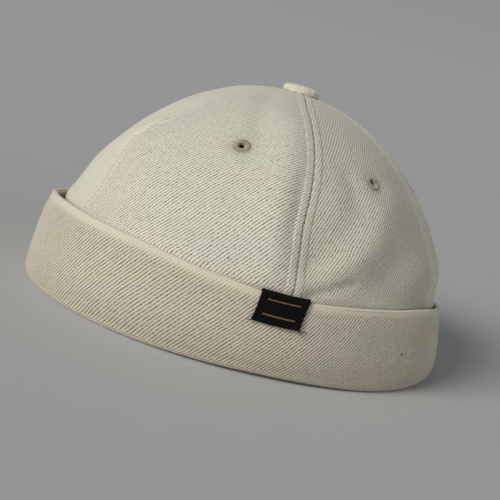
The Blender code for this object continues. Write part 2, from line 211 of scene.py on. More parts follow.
# Eyelets, in metres
EYELET_INNER = 0.0010
EYELET_OUTER = 0.0040
EYELET_BORE = 0.0021
EYELET_SEAT = 0.0003
EYELET_THREAD = 0.00030
EYELET_HALF_DEPTH = 0.00106
EYELET_DROP = 0.00076
EYELET_TURNS = 32

# Distances of a panel's columns from its seam, in millimetres, closest where the cloth turns most
SEAM_COLUMNS = (0.0, 0.22, 0.45, 0.75, 1.1, 1.55, 2.0, 2.45, 2.85, 3.15, 3.4, 3.6, 3.8, 4.0, 4.25, 4.6, 5.1,
                5.8, 6.8, 8.2, 10.0, 12.0, 14.0)
MIDDLE_COLUMNS = 26

# How far the front and side seams wander round the head from where they are cut, in degrees
FRONT_WANDER = (
    # height mm, turn
    (20, 0.0),
    (44, 0.4),
    (57, -0.9),
    (66, -2.6),
    (72, -3.4),
    (78, -2.3),
    (86, -0.2),
    (96, 1.2),
    (112, 0.0),
)
SIDE_WANDER = (
    # height mm, turn
    (20, 0.0),
    (47, 0.0),
    (57, -0.5),
    (65, 0.0),
    (73, 0.6),
    (84, 0.8),
    (91, 0.0),
    (99, -1.8),
    (104, -3.4),
    (112, -3.4),
)

LABEL_ASKEW = 0.0021
LABEL_TAPE = 0.00062
LABEL_LENGTH = LABEL_DROP + LABEL_TUCK + 0.0020
LABEL_LINES = (0.0032, 0.0088)

# The cuff's outside: its edge rounds in towards the rim, and its lower fold turns in at the front
RIM_TIP_ANGLE = 322.0
RIM_TIP_SPREAD = 17.0
RIM_TIP_RISE = 0.0009
RIM_PUFF = 0.0012
RIM_PUFF_REACH = 0.0065
RIM_ROUND = 0.00095
RIM_ROUND_REACH = 0.0080
FOOT_TUCK_REACH = 0.0070
BARREL_HEIGHT = 0.0155
BARREL_REACH = 0.0110
CUFF_CLOTH = 0.00118
CUFF_JOIN_DEPTH = 0.0009
CUFF_JOIN_WIDTH = 0.0006
RIM_WAVE = 0.00035
CUFF_BARREL = (
    # angle, tucked in at the foot mm, out at mid height mm
    (0, 0.6, 0.4),
    (15, 1.0, 1.0),
    (30, 1.15, 1.5),
    (60, 1.15, 1.6),
    (85, 1.0, 1.0),
    (110, 0.7, 0.4),
    (180, 0.6, 0.2),
    (270, 0.6, 0.2),
    (330, 0.4, 0.2),
    (360, 0.6, 0.4),
)

# Creases and swells that follow a line on the crown. Points are angle and height in millimetres.
CREASES = (
    # push mm, width mm, points
    (-0.40, 2.3, ((61.4, 74), (61.8, 64), (61.5, 54))),
    (-1.45, 7.0, ((83.0, 80), (82.0, 73), (80.5, 65), (77.0, 58), (73.5, 52), (70.0, 46))),
    (-1.05, 2.0, ((70.3, 34.5), (75.5, 38), (81.5, 42))),
    (-1.10, 5.0, ((30.0, 104), (34.0, 99), (38.0, 95), (41.0, 89))),
    (0.90, 2.4, ((-3.0, 81), (-6.4, 74), (-7.4, 67))),
    (-0.55, 1.3, ((0.6, 83), (-2.4, 76), (-5.2, 70), (-3.6, 62))),
)

# Long ridges with a broad flank towards the front and a steeper one behind
RIDGES = (
    # push mm, width in front mm, width behind mm, points of height mm and angle
    (1.15, 16.0, 13.0, ((30, 60.0), (42, 59.2), (52, 58.6), (62, 58.2), (72, 57.2), (84, 56.2), (93, 54.5),
                        (100, 51.0), (106, 45.0))),
    (1.15, 5.8, 8.5, ((30, 60.0), (42, 59.4), (52, 58.8), (62, 58.4), (72, 57.6), (84, 56.6), (93, 54.5),
                      (100, 51.0), (106, 45.0))),
    (1.05, 6.0, 12.0, ((30, 66.0), (38, 70.0), (44, 75.0), (51, 81.0), (58, 87.0), (66, 91.5), (76, 94.0),
                       (90, 94.5))),
)
RIDGE_FADES = (
    # start and end of the fade at the bottom, the same at the top, in mm
    (28, 38, 96, 106),
    (28, 38, 92, 105),
    (33, 42, 74, 86),
)

# The front of the crown leans in above the rim and flares out to it
FRONT_LEAN = (
    # height mm, out mm
    (0, 0.0),
    (42, 0.0),
    (49, -0.8),
    (58, -1.1),
    (68, -1.5),
    (84, -1.5),
    (98, -0.8),
    (108, 0.0),
    (113, 0.0),
)
LEAN_ROUND = (
    # angle, share
    (-180, 0.0),
    (-115, 0.0),
    (-70, 0.9),
    (-40, 1.0),
    (15, 1.0),
    (40, 0.7),
    (62, 0.0),
    (180, 0.0),
)
RIM_FLARE = (
    # angle, out mm at the rim, height mm where it ends
    (-180, 1.0, 46),
    (-120, 1.2, 46),
    (-60, 1.8, 45),
    (-20, 2.0, 44),
    (0, 2.3, 45),
    (15, 3.6, 47),
    (30, 4.3, 50),
    (45, 3.3, 52),
    (58, 2.4, 50),
    (66, 1.7, 46),
    (80, 0.7, 44),
    (110, 0.5, 44),
    (140, 0.5, 44),
    (180, 1.0, 46),
)


def smooth(share):
    """0 to 1 with level ends, for numbers and arrays."""
    share = np.clip(share, 0.0, 1.0)
    return share * share * (3 - 2 * share)


def bell(distance, width):
    return np.exp(-((distance / width) ** 2))


def spline(rows, column, at):
    """A column of a table read on a smooth curve, at an array of places in its first column."""
    table = np.array(rows, float)
    at = np.asarray(at, float)
    last = len(table) - 2
    i = np.clip(np.searchsorted(table[:, 0], at, side="left") - 1, 0, last)
    before = table[np.maximum(i - 1, 0)]
    start = table[i]
    end = table[i + 1]
    after = table[np.minimum(i + 2, last + 1)]
    span = end[..., 0] - start[..., 0]
    share = (at - start[..., 0]) / span
    here, there = start[..., column], end[..., column]
    slope_in = (there - before[..., column]) / np.maximum(end[..., 0] - before[..., 0], 1e-9) * span
    slope_out = (after[..., column] - here) / np.maximum(after[..., 0] - start[..., 0], 1e-9) * span
    square = share * share
    cube = square * share
    return (here * (2 * cube - 3 * square + 1) + slope_in * (cube - 2 * square + share)
            + there * (3 * square - 2 * cube) + slope_out * (cube - square))


def oval(angle, out, height):
    """Points round the cuff's widest oval, moved out and up."""
    turn = np.radians(angle)
    return np.stack([(CUFF_WIDTH / 2 + out) * np.sin(turn), -(CUFF_LENGTH / 2 + out) * np.cos(turn),
                     height + 0.0 * turn], axis=-1)


def round_cuff(angle, column):
    """A column of the cuff's table, read all the way round."""
    return spline(CUFF_ROUND, column, np.mod(angle, 360.0))


def rim_height(angle):
    return CUFF_HEIGHT * round_cuff(angle, 1)


def foot_height(angle):
    return np.maximum(CUFF_HEIGHT * round_cuff(angle, 3), 0.0)


def fold_rise(angle):
    return CUFF_HEIGHT * round_cuff(angle, 4)


def cuff_slope(angle):
    """How much the cuff's outside leans in for each metre up."""
    side = np.sin(np.radians(angle)) ** 2
    across = (CUFF_WIDTH / 2 - CROWN_HALF_WIDTH) * side + (CUFF_LENGTH / 2 - CROWN_HALF_LENGTH) * (1 - side)
    lean = across - CUFF_WALL - RIM_GAP * round_cuff(angle, 2)
    return lean / (rim_height(angle) - foot_height(angle) - fold_rise(angle))


def cuff_out(angle, height):
    return -cuff_slope(angle) * (height - foot_height(angle) - fold_rise(angle))


def slot_floor(angle):
    return foot_height(angle) + CUFF_WALL


def crown_foot(angle):
    return slot_floor(angle) + CLEARANCE + HEM * np.maximum(cuff_slope(angle), 0.0)


def outline_lengths():
    """The crown's outline as (distance up from the rim, reach, height)."""
    rows = []
    along = 0.0
    rise = HAT_HEIGHT - CROWN_BASE
    for i, (reach, height) in enumerate(CROWN_OUTLINE):
        if i:
            along += math.hypot((CROWN_OUTLINE[i - 1][0] - reach) * CROWN_HALF_LENGTH,
                                (height - CROWN_OUTLINE[i - 1][1]) * rise)
        rows.append((along, reach, height))
    return rows


OUTLINE = outline_lengths()


def panel_share(angle):
    """How far across its panel an angle is, 0 to 1."""
    share = np.zeros_like(angle)
    for _, start, end, _ in PANELS:
        inside = (angle >= start) & (angle <= end)
        share = np.where(inside, (angle - start) / (end - start), share)
    return share


def seat_top(angle):
    return foot_height(angle) + INNER_LEG_HEIGHT


def rising(angle, height):
    return smooth((height - seat_top(angle)) / (CROWN_BASE - seat_top(angle)))


def swell(angle, height, reach):
    """The crown's puff between its seams, with its broad folds."""
    angle = np.mod(angle, 360.0)
    fade = rising(angle, height) * smooth(reach * 2)
    push = np.zeros_like(angle)
    for centre, level, spread, span, slant, share in CROWN_FOLDS:
        rise = height / HAT_HEIGHT - level
        turn = np.mod(angle - centre - slant * rise + 180.0, 360.0) - 180.0
        push += share * np.exp(-((turn / spread) ** 2) - (rise / span) ** 2)
    return fade * (PUFF * (np.sin(np.pi * panel_share(angle)) - 0.5) + FOLD_DEPTH * push)


def low_crown(angle, height):
    """Points of the crown's outer face between the cuff's fold and its rim."""
    turn = np.radians(angle)
    held = oval(angle, cuff_out(angle, height) - CUFF_WALL - SLOT_CLEARANCE, height)
    free = np.stack([CROWN_HALF_WIDTH * np.sin(turn), -CROWN_HALF_LENGTH * np.cos(turn),
                     height + 0.0 * turn], -1)
    outward = np.stack([np.sin(turn), -np.cos(turn), 0.0 * turn], -1)
    share = rising(angle, height)[..., None]
    return held * (1 - share) + free * share + outward * swell(angle, height, 1.0)[..., None]


def high_crown(angle, along):
    """Points of the crown's outer face at a distance up its outline from the rim."""
    angle = np.asarray(angle, float)
    reach = spline(OUTLINE, 1, along) + 0.0 * angle
    share = spline(OUTLINE, 2, along) + 0.0 * angle
    height = CROWN_BASE + (HAT_HEIGHT - CROWN_BASE) * share
    turn = np.radians(angle)
    place = np.stack([CROWN_HALF_WIDTH * reach * np.sin(turn) + APEX_SIDE * share,
                      -CROWN_HALF_LENGTH * reach * np.cos(turn) - APEX_FORWARD * share, height], -1)
    lean = np.sqrt(np.maximum(1 - reach * reach, 0.0)) * 0.8
    outward = np.stack([np.sin(turn), -np.cos(turn), lean], -1)
    outward /= np.linalg.norm(outward, axis=-1, keepdims=True)
    return place + outward * swell(angle, height, reach)[..., None]


LADDER = np.linspace(0.0, OUTLINE[-1][0], 400)
APEX_ALONG = float(np.interp(-APEX_REACH / CROWN_HALF_WIDTH, -spline(OUTLINE, 1, LADDER), LADDER))


def front_lean(angle, height):
    """How far the front of the crown stands out or in from the even shape, in metres."""
    turn = np.mod(angle + 180.0, 360.0) - 180.0
    level = np.clip(height * 1000, 0, 113)
    flare = spline(RIM_FLARE, 1, turn) * smooth((level - 25) / 9)
    flare = flare * smooth((spline(RIM_FLARE, 2, turn) - level) / (spline(RIM_FLARE, 2, turn) - 35))
    return (spline(FRONT_LEAN, 1, level) * spline(LEAN_ROUND, 1, turn) + flare) / 1000


def along_at_height(angle, height):
    """How far up the outline from the rim a height is."""
    heights = high_crown(np.full_like(LADDER, angle), LADDER)[:, 2]
    return float(np.interp(height, heights, LADDER))


def crown_at(angle, height):
    """A point of the crown's outer face at an angle and height."""
    if height < CROWN_BASE:
        return low_crown(np.array([float(angle)]), np.array([height]))[0]
    return high_crown(np.array([float(angle)]), along_at_height(angle, height))[0]


def seam_turn(seam, height):
    """Where a seam runs at a height, in degrees."""
    level = np.clip(np.asarray(height) * 1000, 20, 112)
    if seam in (0.0, 360.0):
        return seam + spline(FRONT_WANDER, 1, level)
    if seam == SIDE_SEAM:
        return seam + spline(SIDE_WANDER, 1, level)
    return seam + 0.0 * level


def ripple(points, size, seed):
    """Soft noise of a given size at points, from -1 to 1."""
    scale = 1.0 / size
    return np.array([noise.noise(Vector(point) * scale + Vector((seed, seed * 1.7, 0.0)))
                     for point in points.reshape(-1, 3)]).reshape(points.shape[:-1])


def grid_normals(points):
    """Outward directions of a grid of points."""
    down = np.gradient(points, axis=0)
    across = np.gradient(points, axis=1)
    normals = np.cross(across, down)
    return normals / np.maximum(np.linalg.norm(normals, axis=-1, keepdims=True), 1e-12)


def line_distance(points, line):
    """Distance of each point from a line of straight stretches."""
    best = np.full(points.shape[:-1], 1e9)
    for start, end in zip(line, line[1:]):
        step = end - start
        share = np.clip(((points - start) @ step) / (step @ step), 0.0, 1.0)
        away = np.linalg.norm(points - start - share[..., None] * step, axis=-1)
        best = np.minimum(best, away)
    return best


# Objects


def only(obj):
    """Makes one object the only one selected, and the active one."""
    bpy.ops.object.select_all(action="DESELECT")
    obj.select_set(True)
    bpy.context.view_layer.objects.active = obj


def apply_all(obj):
    only(obj)
    for modifier in list(obj.modifiers):
        bpy.ops.object.modifier_apply(modifier=modifier.name)


def named(name):
    """The object just added, with its name."""
    obj = bpy.context.active_object
    obj.name = name
    obj.data.name = name
    return obj


def cloth_sheet(name, points, uv):
    """A grid sheet whose corners are laid on rows and columns of points, with the flat cut as its UV map."""
    rows, columns = points.shape[:2]
    bpy.ops.mesh.primitive_grid_add(x_subdivisions=columns - 1, y_subdivisions=rows - 1, size=1.0)
    sheet = named(name)
    mesh = sheet.data
    flat = np.empty(len(mesh.vertices) * 3)
    mesh.vertices.foreach_get("co", flat)
    flat = flat.reshape(-1, 3)
    column = np.rint((flat[:, 0] + 0.5) * (columns - 1)).astype(int)
    row = np.rint((flat[:, 1] + 0.5) * (rows - 1)).astype(int)
    mesh.vertices.foreach_set("co", points[row, column].reshape(-1))
    corners = np.empty(len(mesh.loops), int)
    mesh.loops.foreach_get("vertex_index", corners)
    mesh.uv_layers[0].name = "cut"
    mesh.uv_layers[0].data.foreach_set("uv", uv[row[corners], column[corners]].reshape(-1))
    mesh.update()
    only(sheet)
    bpy.ops.object.shade_smooth()
    return sheet, row, column


def vertex_values(obj, name, values):
    """A named value on each vertex, for its material."""
    made = obj.data.attributes.new(name, "FLOAT", "POINT")
    made.data.foreach_set("value", values.astype(np.float32))


def joined_copies(pattern, places, name):
    """Copies of a pattern at places, each with its own mesh, joined as one piece."""
    copies = []
    for place in places:
        copy = pattern.copy()
        copy.data = pattern.data.copy()
        copy.data.transform(place)
        bpy.context.scene.collection.objects.link(copy)
        copies.append(copy)
    bpy.ops.object.select_all(action="DESELECT")
    for copy in copies:
        copy.select_set(True)
    bpy.context.view_layer.objects.active = copies[0]
    bpy.ops.object.join()
    joined = named(name)
    only(joined)
    bpy.ops.object.shade_smooth()
    return joined


def facing(place, across, normal):
    """A placing with X across and Z along the normal."""
    normal = Vector(normal).normalized()
    across = Vector(across)
    across = (across - normal * across.dot(normal)).normalized()
    turn = Matrix((across, normal.cross(across), normal)).transposed().to_4x4()
    turn.translation = Vector(place)
    return turn


# Materials


def add_node(tree, kind, inputs=(), **settings):
    made = tree.nodes.new(kind)
    for key, value in settings.items():
        setattr(made, key, value)
    for key, value in dict(inputs).items():
        if isinstance(value, bpy.types.NodeSocket):
            tree.links.new(value, made.inputs[key])
        else:
            made.inputs[key].default_value = value
    return made


def sums(tree, operation, *values):
    """A math step on sockets or numbers."""
    made = tree.nodes.new("ShaderNodeMath")
    made.operation = operation
    for i, value in enumerate(values):
        if isinstance(value, bpy.types.NodeSocket):
            tree.links.new(value, made.inputs[i])
        else:
            made.inputs[i].default_value = value
    return made.outputs[0]


def remap(tree, value, low, high, to_low=0.0, to_high=1.0, kind="SMOOTHSTEP"):
    made = add_node(tree, "ShaderNodeMapRange", {"Value": value, "From Min": low, "From Max": high,
                                                 "To Min": to_low, "To Max": to_high},
                    interpolation_type=kind)
    return made.outputs["Result"]


def blend_colour(tree, share, first, second, kind="MIX"):
    made = tree.nodes.new("ShaderNodeMix")
    made.data_type = "RGBA"
    made.blend_type = kind
    for socket, value in ((made.inputs[0], share), (made.inputs[6], first), (made.inputs[7], second)):
        if isinstance(value, bpy.types.NodeSocket):
            tree.links.new(value, socket)
        else:
            socket.default_value = value
    return made.outputs[2]


def new_group(name, inputs, outputs):
    tree = bpy.data.node_groups.new(name, "ShaderNodeTree")
    for label, kind, value in inputs:
        socket = tree.interface.new_socket(name=label, in_out="INPUT", socket_type=kind)
        if value is not None:
            socket.default_value = value
    for label, kind in outputs:
        tree.interface.new_socket(name=label, in_out="OUTPUT", socket_type=kind)
    return tree, tree.nodes.new("NodeGroupInput"), tree.nodes.new("NodeGroupOutput")


def times(tree, *values):
    """The product of values, each a socket or a number."""
    product = values[0]
    for value in values[1:]:
        product = sums(tree, "MULTIPLY", product, value)
    return product


def cloud(tree, place, scale, detail, roughness=0.5):
    """Soft noise at a place."""
    return add_node(tree, "ShaderNodeTexNoise", {"Vector": place, "Scale": scale, "Detail": detail,
                                                 "Roughness": roughness}).outputs["Fac"]


def scaled(tree, place, across, along):
    return add_node(tree, "ShaderNodeMapping", {"Vector": place, "Scale": (across, along, 1.0)}).outputs[0]


def waves(tree, phase):
    """A sine from 0 to 1."""
    return sums(tree, "MULTIPLY_ADD", sums(tree, "SINE", phase), 0.5, 0.5)


def split(tree, place):
    return add_node(tree, "ShaderNodeSeparateXYZ", {"Vector": place}).outputs


def object_place(tree):
    return add_node(tree, "ShaderNodeTexCoord").outputs["Object"]


def cut_place(tree):
    return add_node(tree, "ShaderNodeUVMap", uv_map="cut").outputs["UV"]


def vertex_share(tree, name):
    return add_node(tree, "ShaderNodeAttribute", attribute_name=name).outputs["Fac"]


def bumped(tree, shader, strength, distance, height):
    bump = add_node(tree, "ShaderNodeBump", {"Strength": strength, "Distance": distance, "Height": height})
    tree.links.new(bump.outputs["Normal"], shader.inputs["Normal"])


WEAVE_PARTS = ("Height", "Groove shade", "Gap shade", "Speck", "Tone")


def twill_weave():
    """Slanting wales of a heavy twill, with uneven yarn, fibres and dark specks of husk."""
    tree, given, put = new_group(
        "twill weave",
        [("Cut", "NodeSocketVector", None), ("Slant", "NodeSocketFloat", 0.87),
         ("Wales", "NodeSocketFloat", 860.0), ("Specks", "NodeSocketFloat", 0.5)],
        [(label, "NodeSocketFloat") for label in WEAVE_PARTS])
    cut = given.outputs["Cut"]
    wales = given.outputs["Wales"]
    back = times(tree, given.outputs["Slant"], -1.0)
    turned = add_node(tree, "ShaderNodeVectorRotate", {"Vector": cut, "Angle": back},
                      rotation_type="Z_AXIS").outputs[0]
    axes = split(tree, turned)
    drift = sums(tree, "SUBTRACT", cloud(tree, cut, 95.0, 2.0), 0.5)
    across = sums(tree, "MULTIPLY_ADD", drift, 0.0011, axes["Y"])
    phase = times(tree, across, wales, 2 * math.pi)
    ridge = waves(tree, phase)
    along = times(tree, axes["X"], wales, 2 * math.pi * 1.35)
    beat = waves(tree, sums(tree, "MULTIPLY_ADD", phase, 0.5, along))
    slub = cloud(tree, scaled(tree, cut, 1500.0, 110.0), 1.0, 3.0)
    fibre = cloud(tree, cut, 2600.0, 4.0, 0.7)
    body = times(tree, sums(tree, "POWER", ridge, 0.75), sums(tree, "MULTIPLY_ADD", beat, 0.22, 0.78))
    height = sums(tree, "ADD", sums(tree, "MULTIPLY_ADD", fibre, 0.35, body), times(tree, slub, 0.30))
    patch = cloud(tree, cut, 210.0, 3.0)
    dash = cloud(tree, scaled(tree, turned, 520.0, 900.0), 1.0, 2.0)
    # Painted shade: a mask for darker colour in the wales' grooves, and below it one for the gaps between the
    # yarns.
    groove_shade = times(tree, remap(tree, ridge, 0.50, 0.06), remap(tree, patch, 0.30, 0.68, 0.85, 1.0),
                   remap(tree, dash, 0.32, 0.64, 0.50, 1.05))
    pin = cloud(tree, scaled(tree, turned, 1050.0, 1000.0), 1.0, 1.0)
    gap = times(tree, remap(tree, ridge, 0.36, 0.08), remap(tree, pin, 0.50, 0.64))
    cell = add_node(tree, "ShaderNodeTexVoronoi", {"Vector": scaled(tree, cut, 125.0, 165.0), "Scale": 1.0,
                                                   "Randomness": 1.0})
    pick = add_node(tree, "ShaderNodeSeparateColor", {"Color": cell.outputs["Color"]})
    size = times(tree, sums(tree, "POWER", pick.outputs["Red"], 3.0), 0.096)
    near = sums(tree, "SUBTRACT", size, cell.outputs["Distance"])
    speck = times(tree, remap(tree, near, -0.006, 0.012),
                  remap(tree, pick.outputs["Green"], 0.30, 0.95, 0.15, 1.0), given.outputs["Specks"])
    tone = cloud(tree, cut, 26.0, 3.0, 0.55)
    for label, value in zip(WEAVE_PARTS, (height, groove_shade, gap, speck, tone)):
        tree.links.new(value, put.inputs[label])
    return tree


def thread_twist():
    """Fine plies across a thread, with a little fuzz."""
    tree, given, put = new_group(
        "thread twist", [("Line", "NodeSocketVector", None), ("Plies", "NodeSocketFloat", 1.0)],
        [("Height", "NodeSocketFloat"), ("Shade", "NodeSocketFloat")])
    line = given.outputs["Line"]
    plies = add_node(tree, "ShaderNodeTexWave", {"Vector": line, "Scale": given.outputs["Plies"],
                                                 "Distortion": 1.5, "Detail": 2.0},
                     bands_direction="DIAGONAL").outputs["Fac"]
    fuzz = cloud(tree, line, 900.0, 3.0)
    tree.links.new(sums(tree, "MULTIPLY_ADD", fuzz, 0.5, plies), put.inputs["Height"])
    mixed = sums(tree, "MULTIPLY_ADD", fuzz, 0.6, times(tree, plies, 0.4))
    tree.links.new(remap(tree, mixed, 0.2, 0.8), put.inputs["Shade"])
    return tree


def new_material(name):
    look = bpy.data.materials.new(name)
    look.use_nodes = True
    return look, look.node_tree, look.node_tree.nodes["Principled BSDF"]


def colour(red, green, blue):
    """A colour from the usual 0 to 255 screen values."""
    def lin(value):
        share = value / 255.0
        return share / 12.92 if share <= 0.04045 else ((share + 0.055) / 1.055) ** 2.4
    return (lin(red), lin(green), lin(blue), 1.0)


def twill_material(name, weave, slant, wales, lit, top, groove_shade, contrast):
    """Unbleached cotton twill, with painted shade in its grooves and gaps and a painted highlight on its yarn
    crowns.

    One vertex value softens the wales and pales the cloth where it is folded and rubbed, on the cuff's rim
    partly as wear and partly as a painted highlight; another darkens the cloth with painted shade. The painted
    shade in the grooves shows less on cloth seen at a slant and towards the top of the crown.
    """
    look, tree, shader = new_material(name)
    cloth = tree.nodes.new("ShaderNodeGroup")
    cloth.node_tree = weave
    tree.links.new(cut_place(tree), cloth.inputs["Cut"])
    cloth.inputs["Slant"].default_value = math.radians(slant)
    cloth.inputs["Wales"].default_value = wales
    cloth.inputs["Specks"].default_value = 0.8
    wear_and_highlight = vertex_share(tree, "wear_and_highlight")
    slanted = add_node(tree, "ShaderNodeLayerWeight").outputs["Facing"]
    fading_up = remap(tree, split(tree, object_place(tree))["Z"], 0.066, 0.104, 1.0, 0.66)
    open_view = times(tree, remap(tree, slanted, 0.58, 0.90, 1.0, 0.30), fading_up)
    kept = times(tree, sums(tree, "MULTIPLY_ADD", wear_and_highlight, -0.72, 1.0), open_view)
    # Painted highlight: the yarn crowns are lightened towards the second colour.
    yarn = blend_colour(tree, remap(tree, cloth.outputs["Height"], 0.75, 1.35), lit, top)
    # Painted shade in the grooves and in the gaps between the yarns.
    ribbed = blend_colour(tree, times(tree, cloth.outputs["Groove shade"], kept, contrast), yarn, groove_shade)
    gap_shaded = blend_colour(tree, times(tree, cloth.outputs["Gap shade"], kept, 0.85), ribbed, colour(88, 78, 60))
    # Paler where the cloth is rubbed; on the cuff's rim partly rubbed wear and partly a painted highlight.
    base = blend_colour(tree, times(tree, wear_and_highlight, 0.55), gap_shaded, colour(234, 225, 205))
    warm = blend_colour(tree, remap(tree, cloth.outputs["Tone"], 0.3, 0.72), (0.975, 0.98, 0.995, 1),
                        (1.0, 0.99, 0.955, 1))
    toned = blend_colour(tree, 1.0, base, warm, "MULTIPLY")
    # Painted shade: darker towards a brown grey where a vertex value asks for it.
    with_painted_shade = blend_colour(tree, vertex_share(tree, "painted_shade"), toned, colour(122, 108, 84))
    specked = blend_colour(tree, cloth.outputs["Speck"], with_painted_shade, colour(74, 60, 42))
    tree.links.new(specked, shader.inputs["Base Color"])
    tree.links.new(remap(tree, cloth.outputs["Height"], 0.2, 1.3, 0.98, 0.86), shader.inputs["Roughness"])
    bumped(tree, shader, 0.55, 0.00028, times(tree, cloth.outputs["Height"], kept))
    shader.inputs["Sheen Weight"].default_value = 0.22
    shader.inputs["Sheen Roughness"].default_value = 0.55
    shader.inputs["Specular IOR Level"].default_value = 0.25
    return look


def thread_material(name, twist, light, dark, rough, sheen):
    """Sewing thread. A vertex value darkens it with painted shade in the eyelets' holes and round their edges.
    """
    look, tree, shader = new_material(name)
    thread = tree.nodes.new("ShaderNodeGroup")
    thread.node_tree = twist
    tree.links.new(object_place(tree), thread.inputs["Line"])
    thread.inputs["Plies"].default_value = 2600.0
    plied = blend_colour(tree, thread.outputs["Shade"], dark, light)
    # Painted shade: darker towards a brown grey where a vertex value asks for it.
    with_painted_shade = blend_colour(tree, vertex_share(tree, "painted_shade"), plied, colour(92, 80, 62))
    tree.links.new(with_painted_shade, shader.inputs["Base Color"])
    dulled = remap(tree, thread.outputs["Shade"], 0.0, 1.0, rough, rough - 0.12)
    tree.links.new(dulled, shader.inputs["Roughness"])
    bumped(tree, shader, 0.5, 0.00006, thread.outputs["Height"])
    shader.inputs["Sheen Weight"].default_value = sheen
    shader.inputs["Specular IOR Level"].default_value = 0.3
    return look


def tape_material():
    """Black woven tape with fine ribs and two thin tan lines woven in."""
    look, tree, shader = new_material("black woven tape")
    axes = split(tree, cut_place(tree))
    across, down = axes["X"], axes["Y"]
    rib = waves(tree, times(tree, down, 2 * math.pi * 2900))
    pick = waves(tree, times(tree, across, 2 * math.pi * 3600))
    uneven = cloud(tree, object_place(tree), 900.0, 3.0)
    picks = sums(tree, "MULTIPLY_ADD", pick, 0.4, times(tree, uneven, 0.5))
    weave = sums(tree, "MULTIPLY_ADD", rib, 0.6, picks)
    base = blend_colour(tree, remap(tree, weave, 0.2, 1.4), colour(5, 4, 4), colour(17, 15, 14))
    near = [sums(tree, "ABSOLUTE", sums(tree, "SUBTRACT", down, level)) for level in LABEL_LINES]
    lines = sums(tree, "MAXIMUM", *[remap(tree, away, 0.00032, 0.00018) for away in near])
    inside = remap(tree, sums(tree, "ABSOLUTE", across), 0.0066, 0.0064)
    lines = times(tree, lines, inside, remap(tree, pick, 0.05, 0.45, 0.45, 1.0))
    tree.links.new(blend_colour(tree, lines, base, colour(136, 108, 74)), shader.inputs["Base Color"])
    tree.links.new(remap(tree, weave, 0.2, 1.4, 0.9, 0.75), shader.inputs["Roughness"])
    bumped(tree, shader, 0.6, 0.00010, sums(tree, "MULTIPLY_ADD", lines, 0.8, weave))
    shader.inputs["Sheen Weight"].default_value = 0.02
    shader.inputs["Specular IOR Level"].default_value = 0.12
    return look


def dress(piece, look, node):
    """Gives a finished piece its material and slot, and the node that it replaces, if any."""
    piece.data.materials.clear()
    piece.data.materials.append(look)
    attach(piece, "root")
    if node:
        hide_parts(node)


# Crown


def crown_rows():
    """Rows of the crown as (low share, distance up from the rim). One of the two is None."""
    rows = [(share, None) for share in np.linspace(0.0, 1.0, LOW_ROWS, endpoint=False)]
    rows += [(None, along) for along in np.linspace(0.0, APEX_ALONG, HIGH_ROWS)]
    return rows


def row_points(row, angle):
    share, along = row
    if along is not None:
        return high_crown(angle, along)
    foot = crown_foot(angle)
    return low_crown(angle, foot + (CROWN_BASE - foot) * share)


def column_places(width):
    """Distances of the columns from the first seam, for a panel that is this wide here."""
    half = width / 2
    squeeze = min(1.0, half / (SEAM_ZONE * 1.25))
    near = np.array(SEAM_COLUMNS) / 1000 * squeeze
    near[0] = SEAM_JOIN
    middle = np.linspace(near[-1], width - near[-1], MIDDLE_COLUMNS + 1)[1:-1]
    return np.concatenate([near, middle, (width - near)[::-1]])


def panel_points(start, end):
    """The bare cloth of a panel: points, distances from its two seams, places in the flat cut, and angles."""
    points, first, last, cut, angles = [], [], [], [], []
    for row in crown_rows():
        along = row[1]
        middle = np.array([(start + end) / 2])
        height = row_points(row, middle)[0, 2]
        left = float(seam_turn(start, height))
        right = float(seam_turn(end, height))
        probe = row_points(row, np.linspace(left, right, 17))
        width = np.linalg.norm(np.diff(probe, axis=0), axis=1).sum()
        place = column_places(width)
        angle = left + (right - left) * place / width
        points.append(row_points(row, angle))
        first.append(place)
        last.append(width - place)
        climb = height - CROWN_BASE if along is None else along
        cut.append(np.stack([place - width / 2, np.full_like(place, climb)], -1))
        angles.append(angle)
    return [np.array(values) for values in (points, first, last, cut, angles)]


def seam_relief(away, climb, seed):
    """The cloth beside a seam: rolled into the join, raised over the allowance, sewn down beyond."""
    rolled = -ROLL_DEPTH * np.exp(-away / ROLL_WIDTH)
    strip = STRIP_RAISE * smooth(away / STRIP_EDGE) * smooth((STITCH_ROW + STRIP_OVER - away) / STRIP_EDGE)
    pinch = 0.75 + 0.25 * np.cos(2 * np.pi * climb / STITCH_STEP)
    furrow = -FURROW_DEPTH * pinch * bell(away - STITCH_ROW, FURROW_WIDTH)
    pucker = sum(share * np.sin(2 * np.pi * climb / length + turn * seed) for length, share, turn in PUCKERS)
    reach = smooth(away / 0.0012) * smooth((0.0085 - away) / 0.0050)
    return rolled + strip + furrow + PUCKER_HEIGHT * pucker * reach


def crease_lines():
    """The creases with their sizes in metres and their points on the bare crown."""
    made = []
    for push, width, line in CREASES:
        points = np.array([crown_at(angle % 360.0, height / 1000) for angle, height in line])
        made.append((push / 1000, width / 1000, points))
    return made


CREASE_LINES = crease_lines()


def ridge_relief(points, angles):
    """Ridges that run up the crown, each with its own width on either side."""
    height = points[..., 2] * 1000
    round_head = np.linalg.norm(points[..., :2], axis=-1) * 1000
    turn = np.mod(angles + 180.0, 360.0) - 180.0
    relief = np.zeros_like(height)
    for (push, before, behind, line), (low, full, fading, high) in zip(RIDGES, RIDGE_FADES):
        centre = spline(line, 1, np.clip(height, line[0][0], line[-1][0]))
        away = np.radians(turn - centre) * round_head
        shape = np.where(away < 0, bell(away, before), bell(away, behind))
        shown = smooth((height - low) / (full - low)) * smooth((high - height) / (high - fading))
        relief += push / 1000 * shape * shown
    return relief


